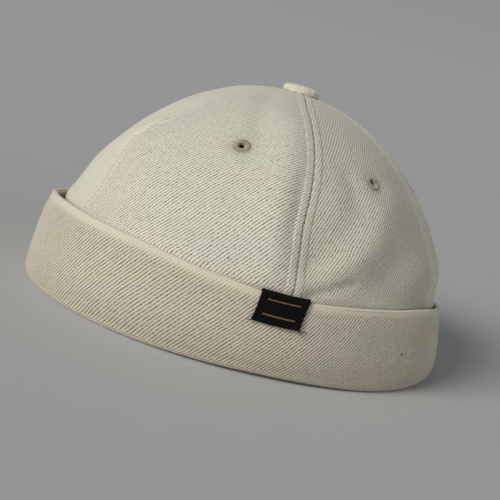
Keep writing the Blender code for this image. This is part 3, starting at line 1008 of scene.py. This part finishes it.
def cloth_relief(points, first, last, cut, angles, shares, seed):
    """How far the finished cloth stands off the bare crown: its seams, and its broad shape."""
    climb = cut[..., 1]
    shown = smooth((climb + 0.012) / 0.010)
    width = first + last
    tight = smooth((width / 2 - 0.0035) / 0.004)
    seams = shares[0] * seam_relief(first, climb, seed) + shares[1] * seam_relief(last, climb, seed + 1.3)
    seams *= 0.25 + 0.75 * tight
    relief = np.zeros_like(width)
    for push, crease_width, line in CREASE_LINES:
        relief += push * bell(line_distance(points, line), crease_width) * shown
    soft = smooth(np.minimum(first, last) / 0.012)
    for depth, size, added in CLOTH_RIPPLES:
        relief += depth * ripple(points, size, seed + added) * soft * shown
    relief = relief + ridge_relief(points, angles)
    return seams, relief + front_lean(angles, points[..., 2])


def wall_depth(first, last, cut):
    """The wall's thickness, thicker over the seam allowances and the lower hem."""
    reach = np.minimum(np.minimum(first, last), cut[..., 1] - cut[0, 0, 1])
    return CLOTH + SEAM_EXTRA * (1 - smooth((reach / ALLOWANCE - 0.6) / 0.8))


def eyelet_frame(angle, raised):
    """The finished cloth's outer face at an eyelet, with Z outwards."""
    along = along_at_height(angle, EYELET_HEIGHT)
    angles = np.array([angle - 0.5, angle, angle + 0.5])
    point = high_crown(angles, along)
    up = high_crown(np.array([angle]), along + 0.001)[0] - high_crown(np.array([angle]), along - 0.001)[0]
    normal = np.cross(point[2] - point[0], up)
    return facing(point[1] + normal / np.linalg.norm(normal) * raised, point[2] - point[0], normal)


def bore(panel, placing):
    """Cuts the hole that an eyelet's thread is sewn round."""
    bpy.ops.mesh.primitive_cylinder_add(vertices=32, radius=EYELET_BORE, depth=0.010)
    cutter = named("bore")
    cutter.data.transform(placing)
    only(panel)
    cut = panel.modifiers.new("bore", "BOOLEAN")
    cut.operation = "DIFFERENCE"
    cut.solver = "EXACT"
    cut.object = cutter
    bpy.ops.object.modifier_apply(modifier=cut.name)
    bpy.data.objects.remove(cutter)


def panel_wear_and_shade(name, first, last, away, height, shares):
    """Where a panel is rubbed pale, and where painted shade darkens it: in the joins, round the eyelet and at
    the top.
    """
    wear_and_highlight = SEAM_RUB * bell(np.minimum(first, last) - SEAM_RUB_AT, SEAM_RUB_WIDTH)
    if name == "front_right":
        wear_and_highlight = np.maximum(wear_and_highlight, FRONT_RUB * smooth((FRONT_RUB_REACH - last) / 0.016))
    joins = shares[0] * np.exp(-first / JOIN_SHADE_WIDTH) + shares[1] * np.exp(-last / JOIN_SHADE_WIDTH)
    # Painted shade in the joins, round the eyelet and over the top of the crown.
    painted_shade = JOIN_SHADE * joins + EYELET_SHADE * bell(away, EYELET_SHADE_WIDTH)
    painted_shade = painted_shade + TOP_SHADE * smooth((height - TOP_SHADE_FROM) / 0.030)
    return wear_and_highlight, np.clip(painted_shade, 0, 1)


def crown_panel(name, start, end, eyelet, look, seed):
    """One panel of the crown, cut, sewn, folded and bored, with its eyelet's placing and its grid."""
    points, first, last, cut, angles = panel_points(start, end)
    seat = float(front_lean(np.array([eyelet]), np.array([EYELET_HEIGHT]))[0])
    placing = eyelet_frame(eyelet, seat)
    centre = eyelet_frame(eyelet, 0.0).translation
    shares = [SEAM_SHARES[round(min(seam, 360.0 - seam), 3)] for seam in (start, end)]
    seams, broad = cloth_relief(points, first, last, cut, angles, shares, seed)
    height = points[..., 2]
    lapped = smooth((height - 0.036) / 0.008) * smooth((LAP_TOP - height) / 0.010)
    if name == "front_right":
        seams += LAP_RAISE * np.exp(-last / LAP_SOFT) * lapped
    if name == "front_left":
        seams -= LAP_RAISE * 0.6 * np.exp(-first / 0.0015) * lapped
    away = np.linalg.norm(points - np.array(centre), axis=-1)
    near = smooth((away - 0.004) / 0.010)
    broad = broad * near + seat * (1 - near)
    normals = grid_normals(points)
    finished = points + normals * (broad + seams * near - EYELET_SEAT * bell(away, 0.0045))[..., None]
    inside = points + normals * (broad - wall_depth(first, last, cut))[..., None]
    cloth, row, column = cloth_sheet("crown_cloth_" + name, finished, cut)
    wear_and_highlight, painted_shade = panel_wear_and_shade(name, first, last, away, height, shares)
    vertex_values(cloth, "wear_and_highlight", wear_and_highlight[row, column])
    vertex_values(cloth, "painted_shade", painted_shade[row, column])
    wall = cloth.modifiers.new("cloth", "SOLIDIFY")
    wall.thickness = HEM
    wall.offset = -1.0
    apply_all(cloth)
    for vert, place in zip(cloth.data.vertices[len(row):], inside[row, column]):
        vert.co = place
    bore(cloth, placing)
    dress(cloth, look, "panel_" + name)
    return placing, (first, last, cut, finished, normals)


def stitch_pattern():
    """One stitch: a thread bent over the cloth, its ends going down into it."""
    bend = math.radians(62)
    bow = STITCH_LENGTH / 2 / math.sin(bend)
    bpy.ops.mesh.primitive_circle_add(vertices=6, radius=STITCH_THREAD, fill_type="NGON",
                                      rotation=(0, math.pi / 2, 0), location=(0, 0, 0))
    stitch = named("stitch")
    only(stitch)
    bpy.ops.object.transform_apply(location=True, rotation=True, scale=True)
    for vert in stitch.data.vertices:
        vert.co.z += bow
    bpy.ops.object.mode_set(mode="EDIT")
    bpy.ops.mesh.select_all(action="SELECT")
    bpy.ops.mesh.spin(steps=6, angle=2 * bend, center=(0, 0, 0), axis=(0, 1, 0), dupli=False)
    bpy.ops.mesh.select_all(action="SELECT")
    bpy.ops.mesh.normals_make_consistent(inside=False)
    bpy.ops.object.mode_set(mode="OBJECT")
    stitch.data.transform(Matrix.Rotation(-bend, 4, "Y"))
    ends = [vert.co.x for vert in stitch.data.vertices]
    middle = (min(ends) + max(ends)) / 2
    drop = bow - STITCH_THREAD * 0.55
    for vert in stitch.data.vertices:
        vert.co.x -= middle
        vert.co.z = (vert.co.z - drop) * 0.62
    return stitch


def stitch_places(grid, from_last, seam):
    """Places of one row of stitches, along a panel's first or last seam. Flatter seams show less thread."""
    lift = STITCH_LIFT * SEAM_SHARES[round(min(seam, 360.0 - seam), 3)] - STITCH_SINK
    first, last, cut, finished, normals = grid
    away = last if from_last else first
    climbs = cut[:, 0, 1]
    width = (first + last)[:, 0]
    places = []
    climb = -0.006
    while climb < climbs[-1]:
        wide = np.interp(climb, climbs, width)
        if wide / 2 < STITCH_ROW + 0.0012:
            break
        ends = []
        for at in (climb - STITCH_LENGTH * 0.4, climb + STITCH_LENGTH * 0.4):
            r = np.interp(at, climbs, np.arange(len(climbs)))
            low = int(min(r, len(climbs) - 2))
            share = r - low
            pair = []
            order = slice(None, None, -1) if from_last else slice(None)
            for line in (low, low + 1):
                reach = away[line][order]
                pair.append([np.interp(STITCH_ROW, reach, finished[line][order, k]) for k in range(3)])
            ends.append(np.array(pair[0]) * (1 - share) + np.array(pair[1]) * share)
        r = int(round(np.interp(climb, climbs, np.arange(len(climbs)))))
        c = int(np.argmin(np.abs(away[r] - STITCH_ROW)))
        middle = (ends[0] + ends[1]) / 2
        places.append(facing(middle + normals[r, c] * lift, ends[1] - ends[0], normals[r, c]))
        climb += STITCH_STEP
    return places


def eyelet_loop():
    """One turn of thread round the cloth's cut edge, tapering towards the hole."""
    middle = (EYELET_INNER + EYELET_OUTER) / 2
    radius = (EYELET_OUTER - EYELET_INNER) / 2 - 0.00026
    bpy.ops.mesh.primitive_circle_add(vertices=5, radius=EYELET_THREAD, location=(middle + radius, 0, 0))
    loop = named("eyelet_turn")
    only(loop)
    bpy.ops.object.transform_apply(location=True, rotation=True, scale=True)
    bpy.ops.object.mode_set(mode="EDIT")
    bpy.ops.mesh.select_all(action="SELECT")
    bpy.ops.mesh.spin(steps=12, angle=2 * math.pi, center=(middle, 0, 0), axis=(0, 1, 0), dupli=False)
    bpy.ops.mesh.select_all(action="SELECT")
    bpy.ops.mesh.remove_doubles(threshold=1e-6)
    bpy.ops.mesh.normals_make_consistent(inside=False)
    bpy.ops.object.mode_set(mode="OBJECT")
    for vert in loop.data.vertices:
        vert.co.y *= 0.45 + 0.62 * (vert.co.x - EYELET_INNER) / (EYELET_OUTER - EYELET_INNER)
        vert.co.z = vert.co.z * (EYELET_HALF_DEPTH / radius) - EYELET_DROP
    return loop


def eyelet(name, placing, pattern, look):
    """A ring of uneven turns of thread, with painted shade in its hole and round its edge."""
    places = []
    for turn in range(EYELET_TURNS):
        angle = 2 * math.pi * turn / EYELET_TURNS
        wobble = noise.noise(Vector((turn * 0.9, len(name), 0.0)))
        size = Matrix.Diagonal((1.0 + 0.09 * wobble, 1.0, 1.0 + 0.22 * wobble, 1.0))
        places.append(placing @ Matrix.Rotation(angle + 0.05 * wobble, 4, "Z") @ size)
    ring = joined_copies(pattern, places, "eyelet_thread_" + name)
    centre = placing.translation
    axis = placing.col[2].to_3d().normalized()
    reach = np.array([(vert.co - centre).cross(axis).length for vert in ring.data.vertices])
    # Painted shade in the hole and round the ring's outer edge.
    hole = 0.45 * smooth((0.0022 - reach) / 0.0012)
    vertex_values(ring, "painted_shade", hole + 0.40 * smooth((reach - 0.0034) / 0.0006))
    dress(ring, look, "eyelet_" + name)


# Cuff


def cuff_rows():
    """Rows of the cuff's cloth: which stretch each is on, and how far along it."""
    stretches = (("inner", 9), ("turn", 4), ("bottom", 5), ("fold", 7), ("outside", 34), ("rim", 11),
                 ("inside", 14))
    rows = []
    for stretch, count in stretches:
        rows += [(stretch, share) for share in np.linspace(0.0, 1.0, count, endpoint=stretch == "inside")]
    return rows


def cuff_row(stretch, share, angle):
    """The outer face of the cuff's cloth as (out, height) on one of its rows."""
    rim = rim_height(angle)
    foot = foot_height(angle)
    half = CUFF_WALL / 2
    leg_top = rim - half
    rise = fold_rise(angle)
    inset = FOLD_INSET * round_cuff(angle, 5)
    inner = -CUFF_WALL - SLOT_WIDTH - INNER_LEG_WALL
    corner = INNER_LEG_WALL / 2
    if stretch == "inner":
        top = seat_top(angle)
        return (inner + cuff_out(angle, top) * (1 - share), top + (foot + corner - top) * share)
    if stretch == "turn":
        turn = math.pi / 2 * share
        return (inner + corner * (1 - math.cos(turn)), foot + corner * (1 - math.sin(turn)))
    if stretch == "bottom":
        return (inner + corner + (-inset - inner - corner) * share, foot + 0.0 * rise)
    if stretch == "fold":
        turn = math.pi / 2 * share
        return (-inset * (1 - math.sin(turn)), foot + rise * (1 - math.cos(turn)))
    if stretch == "outside":
        height = foot + rise + (leg_top - foot - rise) * share
        return (cuff_out(angle, height), height)
    middle = cuff_out(angle, leg_top) - half
    if stretch == "rim":
        turn = math.pi * share
        return (middle + half * np.cos(turn), leg_top + half * np.sin(turn))
    floor = slot_floor(angle)
    height = leg_top + (floor - leg_top) * share
    return (cuff_out(angle, height) - CUFF_WALL, height)


def cuff_swell(angle, height, points):
    """How far the cuff's outside stands off its even slope."""
    out = spline(CUFF_BARREL, 2, np.mod(angle, 360.0)) / 1000
    barrel = out * bell(height - foot_height(angle) - BARREL_HEIGHT, BARREL_REACH)
    wavy = 0.00055 * ripple(points * np.array([1, 1, 0.55]), 0.034, 3.0)
    return barrel + wavy + 0.00018 * ripple(points, 0.012, 9.0)


def rim_rounding(down):
    """How far the cuff's outside is rounded in, this far below its rim."""
    return RIM_ROUND * smooth((RIM_ROUND_REACH - down) / RIM_ROUND_REACH)


def by_stretch(stations, values):
    """A column of values for the cuff's rows. Each is a number, or worked out from how far along it is."""
    column = []
    for stretch, share in stations:
        value = values.get(stretch, 0.0)
        column.append(value(share) if callable(value) else value)
    return np.array(column, float)[:, None]


def cuff_angles():
    """Angles round the cuff from its join at the back, closest beside the join."""
    near = np.array([0.0, 0.06, 0.14, 0.25, 0.40, 0.60, 0.85, 1.2, 1.6])
    angle = np.concatenate([near, np.linspace(2.2, 357.8, 480), 360.0 - near[::-1]]) + 180.0
    angle[0] += 0.02
    angle[-1] -= 0.02
    return angle


def lengths_along(steps):
    return np.concatenate([[0.0], np.cumsum(steps)])


def rolled_cuff(look):
    """The cuff's folded band of cloth, swollen, tucked in at the foot, with a soft rim and a join behind."""
    angle = cuff_angles()
    turned = np.mod(angle, 360.0)
    stations = cuff_rows()
    points = np.array([oval(angle, *cuff_row(stretch, share, angle)) for stretch, share in stations])
    climb = lengths_along(np.linalg.norm(np.diff(points, axis=0), axis=-1).mean(axis=1))
    along = lengths_along(np.linalg.norm(np.diff(oval(angle, 0.0, 0.0), axis=0), axis=1))
    height = points[..., 2]
    rim = rim_height(angle)[None, :]
    down = rim - height
    above = height - foot_height(angle)[None, :]
    join = np.minimum(along, along[-1] - along)[None, :]

    full = smooth(by_stretch(stations, {"outside": lambda share: share, "rim": 1.0}) / 0.12)
    round_in = by_stretch(stations, {"outside": 1.0,
                                     "rim": lambda share: (1 + math.cos(math.pi * share)) / 2})
    swollen = cuff_swell(angle[None, :] + 0 * height, height, points)
    relief = round_in * (full * swollen - rim_rounding(down))
    puffed = by_stretch(stations, {"rim": 1.0, "inside": 1.0}) * (1 - round_in)
    soft_rim = puffed * smooth((RIM_PUFF_REACH - down) / RIM_PUFF_REACH)
    relief = relief + RIM_PUFF * round_cuff(angle, 2)[None, :] * soft_rim
    relief = relief - CUFF_JOIN_DEPTH * np.exp(-join / CUFF_JOIN_WIDTH) * (full > 0)
    finished = points + grid_normals(points) * relief[..., None]

    low_in = by_stretch(stations, {"bottom": lambda share: share, "fold": 1.0, "outside": 1.0})
    tuck = spline(CUFF_BARREL, 1, turned)[None, :] / 1000 * low_in * bell(above, FOOT_TUCK_REACH)
    radial = finished[..., :2] / np.linalg.norm(finished[..., :2], axis=-1, keepdims=True)
    finished[..., :2] -= radial * tuck[..., None]
    wave = np.array([noise.noise(Vector((math.sin(a) * 4, math.cos(a) * 4, 2.0))) for a in np.radians(angle)])
    wave = RIM_WAVE * wave + RIM_TIP_RISE * bell(turned - RIM_TIP_ANGLE, RIM_TIP_SPREAD)
    finished[..., 2] += wave[None, :] * smooth((height / rim - 0.5) * 2)

    cut = np.stack([np.broadcast_to(along, height.shape), np.broadcast_to(climb[:, None], height.shape)], -1)
    cloth, row, column = cloth_sheet("rolled_cuff", finished, cut)
    # The rim is paled, partly as rubbed wear and partly as a painted highlight on its top.
    rim_rub_and_highlight = by_stretch(stations, {"outside": 1.0}) * bell(np.maximum(down - 0.0012, 0.0), RIM_RUB_AND_HIGHLIGHT_WIDTH)
    rim_rub_and_highlight = rim_rub_and_highlight + by_stretch(stations, {"rim": 1.0})
    fold_rub = by_stretch(stations, {"turn": 1.0, "bottom": 1.0, "fold": lambda share: 1 - share})
    vertex_values(cloth, "wear_and_highlight", np.clip(RIM_RUB_AND_HIGHLIGHT * rim_rub_and_highlight + FOLD_RUB * fold_rub, 0, 1)[row, column])
    # Painted shade: darker towards the foot of the cuff, on its inside and beside its join.
    painted_cuff_shade = FOOT_SHADE * low_in * smooth(1 - above / FOOT_SHADE_REACH)
    painted_cuff_shade = painted_cuff_shade + INSIDE_SHADE * by_stretch(stations, {"inside": 1.0})
    vertex_values(cloth, "painted_shade", (painted_cuff_shade + JOIN_SHADE * np.exp(-join / CUFF_JOIN_WIDTH))[row, column])
    wall = cloth.modifiers.new("cloth", "SOLIDIFY")
    wall.thickness = CUFF_CLOTH
    wall.offset = -1.0
    apply_all(cloth)
    dress(cloth, look, "cuff")


# Label


def label_row(share, angle):
    """The label's inner face as (out, height, share outside), up the cuff, over the rim and down inside."""
    rim = rim_height(angle)
    half = CUFF_WALL / 2
    leg_top = rim - half
    gap = CLEARANCE + 0.0001
    low = rim + gap + LABEL_CLOTH - LABEL_DROP
    up = leg_top - low
    over = math.pi * (half + gap)
    down = LABEL_TUCK - half
    at = share * (up.mean() + over + down)
    if at < up.mean():
        height = low + up * at / up.mean()
        return cuff_out(angle, height) + gap, height, 1.0
    if at < up.mean() + over:
        turn = (at - up.mean()) / over * math.pi
        around = half + gap
        out = cuff_out(angle, leg_top) - half + around * math.cos(turn)
        return out, leg_top + around * math.sin(turn), (1 + math.cos(turn)) / 2
    height = leg_top - (at - up.mean() - over)
    return cuff_out(angle, height) - CUFF_WALL - gap, height, 0.0


def woven_label(look):
    """The tab folded over the rim, a little narrow and askew at its foot, its corners lifting."""
    rows, columns = 72, 56
    radius = float(np.linalg.norm(oval(np.array([LABEL_ANGLE]), 0.0, 0.0)[0, :2]))
    points, cut = [], []
    for share in np.linspace(0.0, 1.0, rows):
        place = np.linspace(-1.0, 1.0, columns)
        narrow = 1.0 - 0.050 * smooth(1 - share / 0.55) - 0.030 * math.sin(math.pi * min(share / 0.6, 1.0))
        askew = -LABEL_ASKEW * (1 - min(share / 0.62, 1.0))
        angle = LABEL_ANGLE + np.degrees((LABEL_WIDTH / 2 * place * narrow + askew) / radius)
        out, height, outside = label_row(share, angle)
        bare = oval(angle, cuff_out(angle, height), height)
        out = out + outside * (cuff_swell(angle, height, bare) - rim_rounding(rim_height(angle) - height))
        curl = 0.00025 * smooth((np.abs(place) - 0.75) / 0.25) * smooth(1 - share / 0.5)
        lift = 0.00055 * smooth(1 - share / 0.10) + curl + 0.00015 * smooth(1 - share / 0.6)
        points.append(oval(angle, out + lift, height))
        cut.append(np.stack([place * LABEL_WIDTH / 2, np.full(columns, share * LABEL_LENGTH)], -1))
    points = np.array(points)
    normals = grid_normals(points)
    points += normals * (0.00012 * ripple(points, 0.004, 4.0))[..., None]
    label = cloth_sheet("woven_label", points, np.array(cut))[0]
    wall = label.modifiers.new("tape", "SOLIDIFY")
    wall.thickness = LABEL_TAPE
    wall.offset = 1.0
    apply_all(label)
    dress(label, look, "label")
    return points


def frayed_threads(points, look):
    """Loose threads at the label's cut corners."""
    rows = (
        # corner column, corner row, length, side, down, out
        (-1, 0, 0.0036, 1.0, -0.15, 0.25),
        (-1, 0, 0.0022, 0.55, -0.8, 0.35),
        (-2, 0, 0.0016, 0.1, -1.0, 0.3),
        (0, 0, 0.0018, -0.9, -0.3, 0.25),
        (0, 0, 0.0014, -0.5, -0.9, 0.3),
        (1, 0, 0.0010, -0.1, -1.0, 0.3),
        (0, 3, 0.0012, -1.0, 0.1, 0.2),
        (0, 46, 0.0015, -0.9, 0.5, 0.3),
        (-1, 45, 0.0010, 0.9, 0.4, 0.3),
    )
    threads = []
    for i, (column, line, length, side, down, out) in enumerate(rows):
        start = Vector(points[line, column])
        across = (Vector(points[line, -1]) - Vector(points[line, 0])).normalized()
        up = (Vector(points[min(line + 6, len(points) - 1), column]) - start).normalized()
        normal = across.cross(up).normalized()
        if normal.dot(Vector((start.x, start.y, 0.0))) < 0:
            normal.negate()
        curve = bpy.data.curves.new("fray", "CURVE")
        curve.dimensions = "3D"
        curve.bevel_depth = 0.00011
        curve.bevel_resolution = 1
        curve.use_fill_caps = True
        line_points = []
        for step in range(6):
            share = step / 5
            wave = noise.noise(Vector((i * 3.1, share * 2.2, 0.0))) * 0.35
            direction = across * side + up * down + normal * (out * (1 - share)) + (up * wave)
            line_points.append(start + normal * 0.0003 + direction.normalized() * length * (share - 0.12))
        spline_made = curve.splines.new("POLY")
        spline_made.points.add(len(line_points) - 1)
        for point, place in zip(spline_made.points, line_points):
            point.co = (*place, 1.0)
        thread = bpy.data.objects.new("fray", curve)
        bpy.context.scene.collection.objects.link(thread)
        only(thread)
        bpy.ops.object.convert(target="MESH")
        threads.append(bpy.context.active_object)
    bpy.ops.object.select_all(action="DESELECT")
    for thread in threads:
        thread.select_set(True)
    bpy.context.view_layer.objects.active = threads[0]
    bpy.ops.object.join()
    fray = named("label_fray")
    dress(fray, look, None)


# Button


BUTTON_SKIRT = 0.0036
BUTTON_CORE = 0.0025
BUTTON_CORE_RAISE = 0.0009
BUTTON_TAIL = 0.0022
BUTTON_GATHER = 0.00010
BUTTON_LUMPS = 0.00018
BUTTON_RUB = 0.75
BUTTON_SHADE = 0.02
BUTTON_STEPS = {
    # up or down: inset and rise of each step
    1: ((0.0013, 0.00075), (0.0022, 0.00056), (0.0026, 0.00028)),
    -1: ((0.0010, 0.00035), (0.0040, -0.0006)),
}


def top_button(look):
    """A cloth covered button: a domed disc, its cover gathered in under the edge."""
    low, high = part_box("top_button")
    centre = Vector(((low.x + high.x) / 2, (low.y + high.y) / 2, 0.0))
    skirt = high.z - BUTTON_SKIRT
    bpy.ops.mesh.primitive_cylinder_add(vertices=64, radius=BUTTON_RADIUS * 0.985, depth=BUTTON_CORE,
                                        location=(centre.x, centre.y, skirt + BUTTON_CORE_RAISE))
    button = named("covered_button")
    bpy.ops.object.transform_apply(location=True, rotation=True, scale=True)
    bpy.ops.object.mode_set(mode="EDIT")
    for direction, steps in BUTTON_STEPS.items():
        bpy.ops.mesh.select_mode(type="FACE")
        bpy.ops.mesh.select_all(action="DESELECT")
        bpy.ops.object.mode_set(mode="OBJECT")
        cap = max(button.data.polygons, key=lambda face: direction * face.normal.z * (len(face.vertices) > 4))
        cap.select = True
        bpy.ops.object.mode_set(mode="EDIT")
        for inset, rise in steps:
            bpy.ops.mesh.inset(thickness=inset, depth=0.0)
            bpy.ops.transform.translate(value=(0, 0, direction * rise))
        if direction < 0:
            bpy.ops.mesh.extrude_region_move(TRANSFORM_OT_translate={"value": (0, 0, -BUTTON_TAIL)})
        else:
            bpy.ops.mesh.poke()
    bpy.ops.object.mode_set(mode="OBJECT")
    soft = button.modifiers.new("soft", "SUBSURF")
    soft.levels = 2
    soft.render_levels = 2
    apply_all(button)
    mesh = button.data
    top = max(vert.co.z for vert in mesh.vertices)
    for vert in mesh.vertices:
        flat = Vector((vert.co.x - centre.x, vert.co.y - centre.y))
        angle = math.atan2(flat.y, flat.x)
        edge = float(smooth((flat.length / BUTTON_RADIUS - 0.55) / 0.4))
        gather = math.sin(11 * angle + 0.7) + 0.6 * math.sin(17 * angle)
        vert.co.z += BUTTON_GATHER * gather * edge + BUTTON_LUMPS * noise.noise(vert.co * 220)
        shrink = 1 + 0.010 * gather * edge
        vert.co.x = centre.x + flat.x * shrink
        vert.co.y = centre.y + flat.y * shrink
    lift = high.z - top
    for vert in mesh.vertices:
        vert.co.z += lift
    cut = mesh.uv_layers[0] if mesh.uv_layers else mesh.uv_layers.new(name="cut")
    cut.name = "cut"
    for loop in mesh.loops:
        place = mesh.vertices[loop.vertex_index].co
        spread = 1.0 + 60.0 * max(skirt + 0.002 - place.z, 0.0)
        cut.data[loop.index].uv = ((place.x - centre.x) * spread, (place.y - centre.y) * spread)
    only(button)
    bpy.ops.object.shade_smooth()
    count = len(mesh.vertices)
    vertex_values(button, "wear_and_highlight", np.full(count, BUTTON_RUB))
    vertex_values(button, "painted_shade", np.full(count, BUTTON_SHADE))
    dress(button, look, "top_button")


# Floor, lights and camera


SKY_LOW = (0.2985, 0.3010, 0.2970, 1)
SKY_HIGH = (0.135, 0.140, 0.140, 1)
LIGHTS = (
    # name, towards the light, strength, spread in degrees, tint
    ("key", (0.12, -0.89, 0.405), 2.40, 28, (1.0, 0.99, 0.965)),
    ("fill", (0.86, 0.42, 0.14), 0.56, 60, (0.98, 0.99, 1.0)),
)
LENS = 57.6

# The camera's right, up and back directions are the first three columns, and its place is the last
VIEW = (
    (0.547057, -0.308764, 0.778071, 0.301617),
    (0.783314, -0.138974, -0.605892, -0.238512),
    (0.295209, 0.940931, 0.165832, 0.095448),
    (0.0, 0.0, 0.0, 1.0),
)


def floor():
    """A plain pale floor with a little grain."""
    bpy.ops.mesh.primitive_circle_add(vertices=96, radius=9.0, fill_type="NGON", location=(0, 0, 0))
    ground = named("floor")
    look, tree, shader = new_material("pale floor")
    grain = cloud(tree, object_place(tree), 60.0, 4.0)
    pale = blend_colour(tree, grain, (0.585, 0.587, 0.588, 1), (0.60, 0.602, 0.603, 1))
    tree.links.new(pale, shader.inputs["Base Color"])
    shader.inputs["Roughness"].default_value = 0.9
    shader.inputs["Specular IOR Level"].default_value = 0.1
    ground.data.materials.append(look)


def studio_world():
    """A soft grey surround, brighter near the floor line than overhead."""
    world = bpy.data.worlds.new("studio")
    bpy.context.scene.world = world
    world.use_nodes = True
    tree = world.node_tree
    ground = tree.nodes["Background"]
    up = split(tree, add_node(tree, "ShaderNodeTexCoord").outputs["Generated"])["Z"]
    share = remap(tree, up, 0.08, 0.55)
    tree.links.new(blend_colour(tree, share, SKY_LOW, SKY_HIGH), ground.inputs[0])
    ground.inputs[1].default_value = 1.0


def lights():
    """A broad key from the front and a weak fill from the wearer's left."""
    for name, direction, strength, spread, tint in LIGHTS:
        lamp = bpy.data.lights.new(name, "SUN")
        lamp.energy = strength
        lamp.angle = math.radians(spread)
        lamp.color = tint
        placed = bpy.data.objects.new(name, lamp)
        placed.rotation_euler = Vector(direction).to_track_quat("Z", "Y").to_euler()
        bpy.context.scene.collection.objects.link(placed)


def camera():
    """The photo's angle, from above the floor."""
    lens = bpy.data.cameras.new("view")
    lens.lens = LENS
    lens.sensor_width = 36.0
    lens.clip_start = 0.01
    lens.clip_end = 50.0
    placed = bpy.data.objects.new("view", lens)
    placed.matrix_world = Matrix(VIEW)
    bpy.context.scene.collection.objects.link(placed)
    bpy.context.scene.camera = placed


def make_cap():
    """Every piece of the cap with its material. The panels come first, each with its eyelet and stitching."""
    weave = twill_weave()
    twist = thread_twist()
    # Each twill's second colour is a painted highlight on its yarn crowns, and its third a painted shade in
    # its grooves.
    lit = colour(221, 217, 200)
    crest_highlight = colour(236, 232, 217)
    groove_shade = colour(130, 121, 102)
    crown_look = twill_material("cream crown twill", weave, 55.0, 825.0, lit, crest_highlight, groove_shade, 0.68)
    # The side panels' twill has its own slant and wales, and colours darker than the crown's: painted shade
    # for the sides.
    shaded_side_look = twill_material("cream side twill with painted shade", weave, 57.0, 930.0, colour(208, 204, 188),
                               colour(224, 220, 205), groove_shade, 0.68)
    # The cuff's colours are darker and warmer than the crown's; the darkness is painted shade.
    cuff_look = twill_material("cream cuff twill", weave, 50.5, 825.0, colour(204, 196, 177),
                               colour(221, 214, 195), colour(114, 101, 79), 0.80)
    button_look = twill_material("cream button twill", weave, 20.0, 900.0, colour(206, 201, 183),
                                 colour(222, 217, 201), groove_shade, 0.25)
    sewing_look = thread_material("cream sewing thread", twist, colour(222, 216, 199), colour(182, 172, 150),
                                  0.8, 0.3)
    eyelet_look = thread_material("eyelet thread", twist, colour(213, 203, 183), colour(150, 138, 117),
                                  0.75, 0.3)
    tape_look = tape_material()
    fray_look = thread_material("black fray", twist, colour(30, 27, 25), colour(12, 11, 10), 0.7, 0.1)
    loop = eyelet_loop()
    stitch = stitch_pattern()
    for index, (name, start, end, angle) in enumerate(PANELS):
        # The side panels take the twill with painted shade.
        cloth_look = shaded_side_look if name.startswith("side") else crown_look
        placing, grid = crown_panel(name, start, end, angle, cloth_look, 2.0 + 3.0 * index)
        eyelet(name, placing, loop, eyelet_look)
        places = stitch_places(grid, False, start) + stitch_places(grid, True, end)
        rows = joined_copies(stitch, places, "topstitching_" + name)
        dress(rows, sewing_look, None)
    for pattern in (loop, stitch):
        bpy.data.objects.remove(pattern)
    rolled_cuff(cuff_look)
    frayed_threads(woven_label(tape_look), fray_look)
    top_button(button_look)


make_cap()
floor()
studio_world()
lights()
camera()
bpy.context.scene.view_settings.view_transform = "Standard"
bpy.context.view_layer.update()
